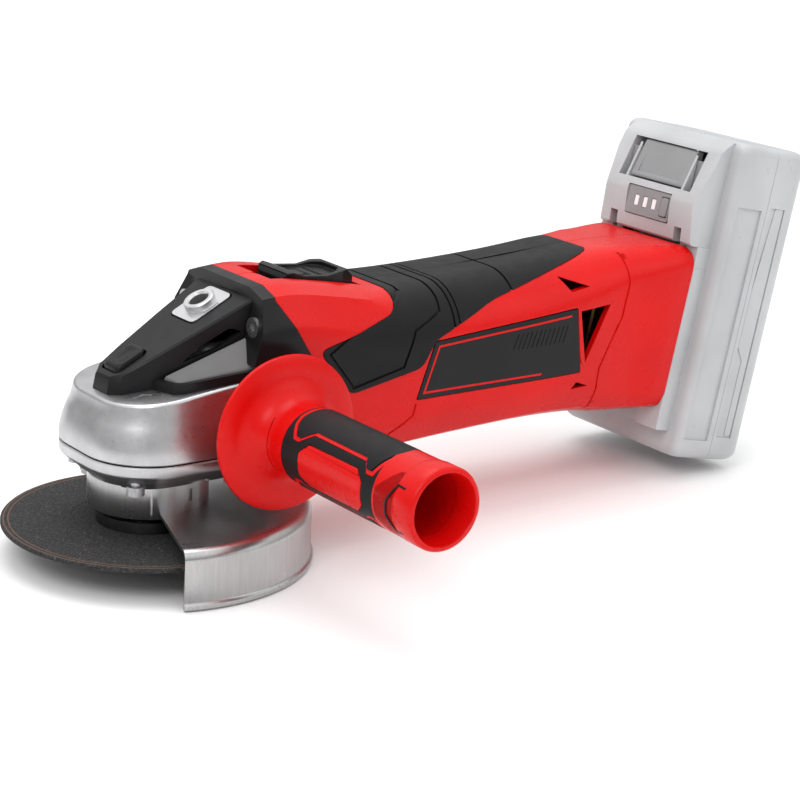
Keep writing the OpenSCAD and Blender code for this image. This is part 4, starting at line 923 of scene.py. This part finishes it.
def lock_button():
    """Key with a rounded outline, whose top follows the slope of the ramp."""
    x0, x1 = -18.0, -5.5

    def ring(inset, z):
        half = 5.5 - inset
        return [(x, y, z(x)) for x, y in box_outline(x0 + inset, x1 - inset, -half, half, 2.2)]

    button = loft("lock_button_cap", [
        ring(0, lambda x: MOTOR_Z + 8.5), ring(0, lambda x: deck(x) + 0.9),
                ring(0.35, lambda x: deck(x) + 1.6),
        ring(1.1, lambda x: deck(x) + 1.9), ring(2.0, lambda x: deck(x) + 1.9),
                ring(2.5, lambda x: deck(x) + 1.5)])
    carve(button, lathe("pin", [(0.01, 60), (2.5, 60), (2.5, MOTOR_Z + 10.5), (0.01, MOTOR_Z + 10.5)],
                        Matrix.Translation((-12, 0, 0)), 32))
    dress(button, "lock", "black_plastic", ["lock_button"], 0.25, 40)


def adapter_frame():
    """Black ring between head and body, with two screw wedges."""
    piece = body_form(0, ADAPTER_X)
    carve(piece, prism("side", ADAPTER_SIDE), "INTERSECT")
    carve(piece, body_form(4, 44.5))
    for side in (-1, 1):
        wedge = []
        for y, x0 in ((20.8, 27.4), (32.4, 27), (34, 28.4)):
            top = MOTOR_Z + 39.5 - (34 - y) * 0.1
            outline = [(x0, MOTOR_Z + 13.5), (ADAPTER_X + 0.6, top), (44, MOTOR_Z + 39), (44, MOTOR_Z + 13.5)]
            wedge.append([(x, side * y, z) for x, z in outline])
        horn = loft("wedge", wedge)
        carve(horn, body_form(0, ADAPTER_X - 6), "INTERSECT")
        carve(horn, prism("side", ADAPTER_SIDE), "INTERSECT")
        carve(piece, horn, "UNION")
    cuts = [block("head_room", (20, -36, 10), (HEAD_BACK + 0.02, 36, MOTOR_Z + 9.6)),
            block("tunnel", (ADAPTER_X + 3, -17, MOTOR_Z), (HEAD_BACK, 17, MOTOR_Z + 36)),
            block("mouth", (20, -14, MOTOR_Z), (ADAPTER_X + 4, 14, MOTOR_Z + 30)),
            lathe("air_way", [(0.01, 25), (23, 25), (23, 70), (0.01, 70)],
                  Matrix.Translation((0, 0, MOTOR_Z)) @ Matrix.Rotation(math.pi / 2, 4, "Y"))]
    for cutter in cuts:
        carve(piece, cutter)
    for side in (-1, 1):
        for y, z, x in ((25, MOTOR_Z + 27, ADAPTER_X), (26, MOTOR_Z - 26, HEAD_BACK - 6)):
            place = Matrix.Translation((x, side * y, z)) @ Matrix.Rotation(math.pi / 2, 4, "Y")
            hole = [(0.01, -9), (4.1, -9), (4.1, 1), (2.5, 1), (2.5, 30), (0.01, 30)]
            carve(piece, lathe("screw_hole", hole, place, 40))
    piece.name = "adapter_ring"
    dress(piece, "frame", "black_plastic", ["adapter_frame"], 0.3)


# ---- Switch slider ----
def slider():
    """Switch slider."""
    x0, x1 = span("switch_slider")[0].x, span("switch_slider")[1].x
    z = MOTOR_Z
    outline = [(x0 + 0.2, 35), (x0, z + 40.3), (x0 + 1.4, z + 42.6), (x0 + 4, z + 43), (x0 + 9, z + 41.2),
               (x0 + 20, z + 40.2), (x0 + 27, z + 41.4), (x0 + 31, z + 41.6), (x1 - 1, z + 38.4),
               (x1, z + 36.4), (x1, 35)]
    cap = prism("slider_cap", outline, -12, 12)
    plan = [(x0, -9.5), (x0 + 4, -12), (x1 - 9, -12), (x1, -7), (x1, 7), (x1 - 9, 12), (x0 + 4, 12),
            (x0, 9.5)]
    carve(cap, slab("plan", rounded(plan, 1.5), 90, 130), "INTERSECT")
    floor = [(x, FRONT_Z - 0.17 * (x - BODY_X) - 3) for x in (x0 - 2, x1 + 2)]
    carve(cap, prism("under", [floor[0], floor[1], (x1 + 2, 20), (x0 - 2, 20)], -20, 20))
    pocket = [(x0 + 8, -9.3), (x0 + 25, -9.3), (x0 + 29, -6), (x0 + 29, 6), (x0 + 25, 9.3), (x0 + 8, 9.3)]
    dish = slab("dish", rounded(pocket, 1.5), z + 39.4, z + 60)
    carve(cap, dish)
    for k in range(3):
        x = x0 + 11 + 4.5 * k
        carve(cap, block("rib", (x, -7, z + 38.9), (x + 1.1, 7, z + 45)))
    stem = block("stem", (x0 + 8, -4, MOTOR_Z + 28), (x0 + 15, 4, MOTOR_Z + 40))
    carve(cap, stem, "UNION")
    dress(cap, "switch", "black_plastic", ["switch_slider"], 0.5)


# ---- Side handle ----
TIP = 114.3
DISH = 12.5


def wrapped(outline, r0, r1, name="wrapped"):
    """Cutter bent round the handle, from an outline of (angle in degrees, distance along)."""
    steps = []
    n = len(outline)
    for i in range(n):
        (a0, s0), (a1, s1) = outline[i], outline[(i + 1) % n]
        parts = max(1, int(abs(a1 - a0) / 5))
        steps += [(lerp(a0, a1, k / parts), lerp(s0, s1, k / parts)) for k in range(parts)]
    rings = [[(r * math.cos(math.radians(a)), r * math.sin(math.radians(a)), s) for a, s in steps]
             for r in (r0, r1)]
    piece = loft(name, rings, HANDLE_FRAME)
    work = bmesh.new()
    work.from_mesh(piece.data)
    bmesh.ops.triangulate(work, faces=[f for f in work.faces if len(f.verts) > 4], ngon_method="EAR_CLIP")
    work.to_mesh(piece.data)
    work.free()
    return piece


def wrapped_line(path, width, r0, r1):
    """Cutter or ridge of even width that runs along a path round the handle."""
    dense = []
    scale = math.pi / 180 * 14.5
    for (a0, s0), (a1, s1) in zip(path, path[1:]):
        parts = max(1, int(math.hypot((a1 - a0) * scale, s1 - s0) / 1.2))
        dense += [(lerp(a0, a1, k / parts) * scale, lerp(s0, s1, k / parts)) for k in range(parts)]
    dense.append((path[-1][0] * scale, path[-1][1]))
    edge = stroke(dense, width)
    n = len(dense)
    rings = []
    for i in range(n):
        ring = []
        near, far = edge[i], edge[2 * n - 1 - i]
        for (u, s), r in ((near, r0), (near, r1), (far, r1), (far, r0)):
            a = u / scale * math.pi / 180
            ring.append((r * math.cos(a), r * math.sin(a), s))
        rings.append(ring)
    return loft("line", rings, HANDLE_FRAME)


# The handle's pattern repeats at each half turn: windows and pads, as (angle, distance along)
WINDOW_AT, PAD_AT, SLEEVE_START, COLLAR_START = 185, 95, 32.3, 102.5
WINDOW = [(-33, 49), (-17, 44), (17, 44), (33, 49), (33, 79), (17, 83.6), (-17, 83.6), (-33, 79)]
TONGUE = [(-56, 103.4), (-56, 101.2), (-22, 92.2), (22, 92.2), (56, 101.2), (56, 103.4)]
PAD_EDGE = [(0, 34.9), (24, 34.9), (38, 36), (56, 39.2), (57, 42), (38.5, 48.7), (39.5, 82), (55, 85.2),
            (55, 88),
            (6, 93.6), (0, 93.6)]


def turned(outline, angle):
    return [(a + angle, s) for a, s in outline]


def raised(name, outline, radius, low=13.0):
    """Curved plate on the handle's surface, inside an outline."""
    s0, s1 = min(s for a, s in outline) - 1, max(s for a, s in outline) + 1
    ring = lathe(name, [(low, s0), (radius, s0), (radius, s1), (low, s1)], HANDLE_FRAME, 180)
    return carve(ring, wrapped(outline, 11, 22), "INTERSECT")


def handle_core():
    """Red side handle: finger guard, collar, windows and marks; the bracket marks are thin black strips that paint
    the shade of a groove.
    """
    fillet = arc_points(13.8 + 10.5, DISH + 13.4, 10.5, 270, 180, 14)
    profile = [(0.01, 1.3), (9.6, 1.3), (10.5, 1.8), (12, 4), (12, DISH - 3), (14, DISH - 1.6),
               (29, DISH - 0.4), (30.6, DISH + 0.3), (31, DISH + 1.3), (30.8, DISH + 2.2),
               (30, DISH + 2.7)] + fillet + [
        (13.8, TIP - 12.2), (15.2, TIP - 11.6), (15.45, TIP - 11), (15.75, TIP - 9), (15.75, TIP - 1.3),
        (15.3, TIP - 0.35), (14.6, TIP), (13.7, TIP), (13.3, TIP - 0.6), (12.9, TIP - 30),
                (10.9, TIP - 31),
        (10.6, TIP - 54), (0.01, TIP - 54)]
    core = lathe("handle_body", profile, HANDLE_FRAME, 144)
    carve(core, lathe("stud_bore", [(0.01, -1), (3.95, -1), (3.95, 24), (0.01, 24)], HANDLE_FRAME, 48))
    for turn in (0, 180):
        bracket = turned([(-36, 108.2), (-37, 104), (-12, 99.8), (8, 99.8), (29, 103.6), (28, 107.8)],
                         WINDOW_AT + turn)
        tongue = raised(f"handle_tongue_{turn}", turned(TONGUE, WINDOW_AT + turn), 15.4)
        # Black strip along the bracket line: painted shade of a groove, drawn instead of cutting one
        mark = wrapped_line(bracket, 0.8, 14.8, 15.82)
        mark.name = f"handle_mark_{turn}"
        dress(mark, "side_handle", "black_plastic", (), 0)
        dress(tongue, "side_handle", "red_plastic", (), 0)
        arc = [(-46 + i * 9, DISH + 8.4 + 1.6 * math.cos(math.radians(i * 9 - 46))) for i in range(11)]
        carve(core, wrapped_line(turned(arc, WINDOW_AT + turn), 0.4, 13.6, 17))
        panel = raised(f"handle_panel_{turn}", turned(WINDOW, WINDOW_AT + turn), 15.2)
        dress(panel, "side_handle", "red_plastic", (), 0.35, 40)
    dress(core, "side_handle", "red_plastic", ["handle_core"], 0.12, 40)


def pad_loop(turn):
    """Closed line round a pad, and the same loop as an outline."""
    half = [(PAD_AT + turn + a, s) for a, s in PAD_EDGE]
    other = [(PAD_AT + turn - a, s) for a, s in PAD_EDGE[::-1]]
    return half + other[1:]


def handle_grip():
    """Rubber sleeve with windows to the red core, raised pads and red lines round them."""
    s0, s1 = SLEEVE_START, COLLAR_START
    sleeve = lathe("handle_sleeve", [(13.75, s0), (14.5, s0), (15.05, s0 + 0.6), (15.05, s1 - 0.5),
                (14.7, s1),
                (13.75, s1)], HANDLE_FRAME, 180)
    for turn in (0, 180):
        gap = [(a * 1.03, s + (0.3 if s > 60 else -0.3)) for a, s in WINDOW]
        carve(sleeve, wrapped(turned(gap, WINDOW_AT + turn), 11, 22))
        gap = [(a * 1.02, s - 0.3) for a, s in TONGUE]
        carve(sleeve, wrapped(turned(gap, WINDOW_AT + turn), 11, 22))
        carve(sleeve, wrapped_line(pad_loop(turn), 1.7, 14.5, 17))
        inlay = wrapped_line(pad_loop(turn), 1.5, 14.2, 15.15)
        inlay.name = f"handle_line_{turn}"
        dress(inlay, "side_handle", "red_plastic", (), 0)
        centre_s, centre_a = 64.2, PAD_AT + turn
        inner = [(lerp(centre_a, a, 0.95), lerp(centre_s, s, 0.955)) for a, s in pad_loop(turn)[:-1]]
        pad = raised(f"handle_pad_{turn}", inner, 15.45, 14.0)
        dress(pad, "side_handle", "black_rubber", (), 0.4, 40)
    dress(sleeve, "side_handle", "black_rubber", ["handle_grip"], 0.3, 40)


# ---- Battery pack, in the foot's own frame: x away from the foot, z up along it ----
PACK_N, PACK_D, PACK_HALF, PACK_S, PACK_TOP, SPLIT = 8.0, 44.0, 39.0, -19.0, 124.0, 30.0
PACK_WALL = 2.2
# The latch's well, its two spring arms and the gauge's well, across (y) and along (z)
WELL_HALF, WELL_LOW, WELL_HIGH = 17.4, 98.1, 116.4
ARM_Y, ARM_HALF = 21, 2
GAUGE_HALF, GAUGE_LOW, GAUGE_HIGH = 14.1, 81.9, 95.1


def pack_plan(inset, front_r=9.0, back_r=4.0):
    n0, n1, y = PACK_N + inset, PACK_N + PACK_D - inset, PACK_HALF - inset
    points = []
    for cx, cy, r, a0 in ((n1 - front_r, -y + front_r, front_r, -90),
                          (n1 - front_r, y - front_r, front_r, 0),
                          (n0 + back_r, y - back_r, back_r, 90),
                          (n0 + back_r, -y + back_r, back_r, 180)):
        points += arc_points(cx, cy, r, a0, a0 + 90, 8)
    return points


def pack_form(inset, r=5.0):
    """The pack's rounded block."""
    rings = []
    low, high = PACK_S + inset, PACK_TOP - inset
    for i in range(9):
        a = math.pi / 2 * i / 8
        drawn_in = inset + r * 0.8 * (1 - math.cos(a))
        rings.append([(x, y, low + r * (1 - math.sin(a))) for x, y in pack_plan(drawn_in)])
    rings = rings[::-1]
    rings += [[(x, y, high - (ring[0][2] - low)) for x, y, z in ring] for ring in rings[::-1]]
    return loft("pack", rings, FOOT_FRAME)


def pack_inside():
    """The room inside both shells."""
    return slab("inside", pack_plan(PACK_WALL, 7, 2), PACK_S + PACK_WALL, PACK_TOP - PACK_WALL,
                FOOT_FRAME)


def pack_front():
    """Front shell: raised head with the latch and gauge wells, dock with rail slots, flank recesses."""
    shell = pack_form(0)
    head = [(PACK_N + 1, 75.3), (-2.2, 75.3), (-3.2, 76.2), (-5.5, 92), (-5.3, 94), (2, 117.4),
            (4, 119.6),
            (PACK_N, 123), (PACK_N + 1, 123)]
    ridge = loft("head", [[(n, y, s) for n, s in head] for y in (-31.5, 31.5)], FOOT_FRAME)
    carve(shell, ridge, "UNION")
    dock = box_outline(0.3, PACK_N + 1, -32, 32, 1)
    carve(shell, slab("dock", dock, -8, 66, FOOT_FRAME), "UNION")
    for side in (-1, 1):
        shoulder = [(0.3, side * 24.5), (PACK_N + 1, side * 24.5), (PACK_N + 1, side * 31.9),
                    (0.3, side * 31.9)]
        carve(shell, slab("shoulder", shoulder, 65, 75.4, FOOT_FRAME), "UNION")
    carve(shell, block("rear", (SPLIT, -60, -30), (90, 60, 140), FOOT_FRAME))
    carve(shell, pack_inside())
    cuts = [block("rail", (-1, -18.3, -9), (2.8, 18.3, 59), FOOT_FRAME),
            block("rail_wide", (2.7, -22.3, -9), (6.3, 22.3, 59), FOOT_FRAME),
            block("latch_well", (-20, -WELL_HALF, WELL_LOW), (11, WELL_HALF, WELL_HIGH), FOOT_FRAME),
            block("latch_bar", (1, -ARM_Y - ARM_HALF, WELL_LOW), (11, ARM_Y + ARM_HALF, WELL_HIGH),
                  FOOT_FRAME),
            block("gauge_well", (-20, -GAUGE_HALF, GAUGE_LOW), (0.2, GAUGE_HALF, GAUGE_HIGH), FOOT_FRAME)]
    for side in (-1, 1):
        y, half = side * ARM_Y, ARM_HALF + 0.3
        cuts.append(block("arm_way", (-4, y - half, 69.5), (11, y + half, WELL_HIGH), FOOT_FRAME))
        flank = [(12, side * 37.9), (27, side * 37.9), (27, side * 45), (12, side * 45)]
        cuts.append(slab("flank", flank, -10, 96, FOOT_FRAME))
        edge = [(-8, side * 33), (2.5, side * 33), (-8, side * 27)]
        cuts.append(slab("edge", edge, 74, 126, FOOT_FRAME))
    for cutter in cuts:
        carve(shell, cutter)
    shell.name = "pack_front_shell"
    dress(shell, "pack", "pale_plastic", ["pack_front"], 0.5)


def pack_rear():
    """Rear shell with its side strips and screws."""
    shell = pack_form(0)
    carve(shell, block("front", (-60, -60, -30), (SPLIT + 0.15, 60, 140), FOOT_FRAME))
    carve(shell, pack_inside())
    for side in (-1, 1):
        strip = [(32.5, side * 38.1), (41.5, side * 38.1), (41.5, side * 45), (32.5, side * 45)]
        carve(shell, slab("strip_bed", strip, -8, 98, FOOT_FRAME))
    places = screw_places("pack_screws", FOOT_FRAME.to_3x3() @ Vector((1, 0, 0)))
    recess_screws(shell, places, PACK_DROP, PACK_SCREW_R)
    screw_set("pack_screw_set", "pack_screws", "pack", places, PACK_DROP, PACK_SCREW_R)
    shell.name = "pack_rear_shell"
    dress(shell, "pack", "pale_plastic", ["pack_rear"], 0.5)
    for side, name in ((-1, "pack_strip_left"), (1, "pack_strip_right")):
        outline = [(33, 60), (36, 98), (41, 98), (41, -7), (37.4, -7), (37.4, 28), (33, 34)]
        rings = [[(n, side * y, s) for n, s in rounded(outline, 0.8)] for y in (38.0, 38.6)]
        strip = loft(name, rings, FOOT_FRAME)
        dress(strip, "pack", "panel_grey", (), 0.15, material=MATERIALS["pale_plastic"])


def pack_latch():
    """Latch key with two spring arms."""
    face = [(-2.4, 98.7), (-2.9, 99.6), (-0.6, 107), (2.0, 115.2), (2.8, 115.9), (6, 115.9), (6, 98.7)]
    key = loft("latch_key", [[(n, y, s) for n, s in face] for y in (-16.8, 16.8)], FOOT_FRAME)
    well = [(-8, 101), (-1.7, 101), (1.2, 112.6), (-8, 112.6)]
    carve(key, loft("thumb_well", [[(n, y, s) for n, s in well] for y in (-13.4, 13.4)], FOOT_FRAME))
    carve(key, block("bar", (1.5, -22, 100.5), (4, 22, 112), FOOT_FRAME), "UNION")
    for side in (-1, 1):
        y0, y1 = side * ARM_Y - ARM_HALF, side * ARM_Y + ARM_HALF
        carve(key, block("arm", (1.5, y0, 71.5), (4, y1, 112), FOOT_FRAME), "UNION")
        carve(key, block("catch", (-2.5, y0, 70.5), (4, y1, 73.5), FOOT_FRAME), "UNION")
    dress(key, "latch", "pale_plastic", ["pack_latch"], 0.5, material=MATERIALS["panel_grey"])


def gauge():
    """Charge gauge: panel, three lamps and a button."""
    panel = loft("gauge_face", [[(n, y, s) for y, s in box_outline(-13.8, 13.8, 82.2, 94.8, 1)]
                                for n in (0, -4.7)], FOOT_FRAME)
    carve(panel, block("button_hole", (-20, -13, 84), (1, -8, 93), FOOT_FRAME))
    for k in range(3):
        y = -3.5 + 5.6 * k
        carve(panel, block("window", (-8, y - 1.4, 86), (-4.0, y + 1.4, 91), FOOT_FRAME))
        lamp = block(f"lamp_{k}", (-4.5, y - 1.2, 86.2), (-3.9, y + 1.2, 90.8), FOOT_FRAME)
        dress(lamp, "pack", "pale_plastic", (), 0.15, material=LAMP)
    dress(panel, "pack", "panel_grey", ["gauge_panel"], 0.25)
    button = loft("gauge_key", [[(n, y, s) for y, s in box_outline(-12.7, -8.3, 84.3, 92.7, 1.2)]
                                for n in (-1.2, -5.1)], FOOT_FRAME)
    dress(button, "gauge", "panel_grey", ["gauge_button"], 0.4)


LAMP = moulded("lamp_white", (0.85, 0.85, 0.85), (0.95, 0.95, 0.95), 0.3)


# ---- CAD pieces that keep their own shape ----
def dress_cad():
    """Gives every CAD node its procedural material."""
    for row in frame["record"]["subparts"]:
        node = frame["nodes"][row["node"]]
        node.data.materials.clear()
        node.data.materials.append(MATERIALS[row["material_slot"]])


# ---- Stage ----
# Half the floor's width, its gap below the tool and the point that the lamps aim at, in metres
FLOOR_HALF, FLOOR_GAP, AIM = 6.0, 0.0005, Vector((0.1, 0, 0.06))
# Each lamp: name, place in metres, power in watts, width in metres
LAMPS = [("key", (-0.9, -0.7, 1.1), 6, 0.6), ("fill", (0.9, -1.2, 0.7), 2.5, 0.9),
         ("top", (0.1, 0.3, 1.4), 6, 0.9)]
# Strength of the world's white light at its lowest and highest
WORLD_LOW, WORLD_HIGH = 0.3, 1.35


def paper_floor():
    """Pale plain floor under the tool."""
    size = FLOOR_HALF
    mesh = bpy.data.meshes.new("floor")
    mesh.from_pydata([(-size, -size, 0), (size, -size, 0), (size, size, 0), (-size, size, 0)], [],
                     [(0, 1, 2, 3)])
    floor = bpy.data.objects.new("floor", mesh)
    floor.location.z = cad_bounds[0].z - FLOOR_GAP
    bpy.context.scene.collection.objects.link(floor)
    material, links, shader, where = new_material("paper", 0.9)
    cloud = noise(where, 3, 2)
    links.new(colour_between(cloud, (0.88, 0.88, 0.88), (0.9, 0.9, 0.9)), shader.inputs["Base Color"])
    mesh.materials.append(material)


def studio_light():
    """White surroundings that brighten upwards, and three wide lamps."""
    world = bpy.data.worlds.new("studio")
    bpy.context.scene.world = world
    world.use_nodes = True
    world.node_tree.nodes["Background"].inputs["Color"].default_value = (1, 1, 1, 1)
    nodes, links = world.node_tree.nodes, world.node_tree.links
    way = nodes.new("ShaderNodeTexCoord")
    height = nodes.new("ShaderNodeSeparateXYZ")
    links.new(way.outputs["Generated"], height.inputs["Vector"])
    fade = spread(height.outputs["Z"], WORLD_LOW, WORLD_HIGH, 0.05, 0.75)
    links.new(fade, nodes["Background"].inputs["Strength"])
    for name, spot, power, width in LAMPS:
        data = bpy.data.lights.new(name, "AREA")
        data.energy, data.size = power, width
        lamp = bpy.data.objects.new(name, data)
        lamp.location = spot
        aim = AIM - Vector(spot)
        lamp.rotation_euler = aim.to_track_quat("-Z", "Y").to_euler()
        bpy.context.scene.collection.objects.link(lamp)


# Camera: its place in metres, the ways it looks, and its lens and sensor in millimetres
EYE = Vector((-0.43349, -0.73091, 0.31939))
FORWARD, RIGHT, UP = (Vector(way) for way in (
    (0.57996, 0.76250, -0.28677), (0.80403, -0.59241, 0.05087), (0.13110, 0.26007, 0.95665)))
LENS, SENSOR, CLIP_START = 101.9, 36, 0.05


def camera():
    """Camera at the three-quarter view from the front left."""
    data = bpy.data.cameras.new("camera")
    data.lens, data.sensor_width, data.clip_start = LENS, SENSOR, CLIP_START
    eye = bpy.data.objects.new("camera", data)
    eye.matrix_world = Matrix.Translation(EYE) @ Matrix((RIGHT, UP, -FORWARD)).transposed().to_4x4()
    bpy.context.scene.collection.objects.link(eye)
    bpy.context.scene.camera = eye


bpy.context.scene.view_settings.view_transform = "Standard"
camera()
paper_floor()
studio_light()
dress_cad()
housings()
grips()
side_plates()
gear_head()
bearing_flange()
guard()
cutting_disc()
top_cover()
air_guides()
handle_insert()
lock_button()
adapter_frame()
slider()
handle_core()
handle_grip()
pack_front()
pack_rear()
pack_latch()
gauge()
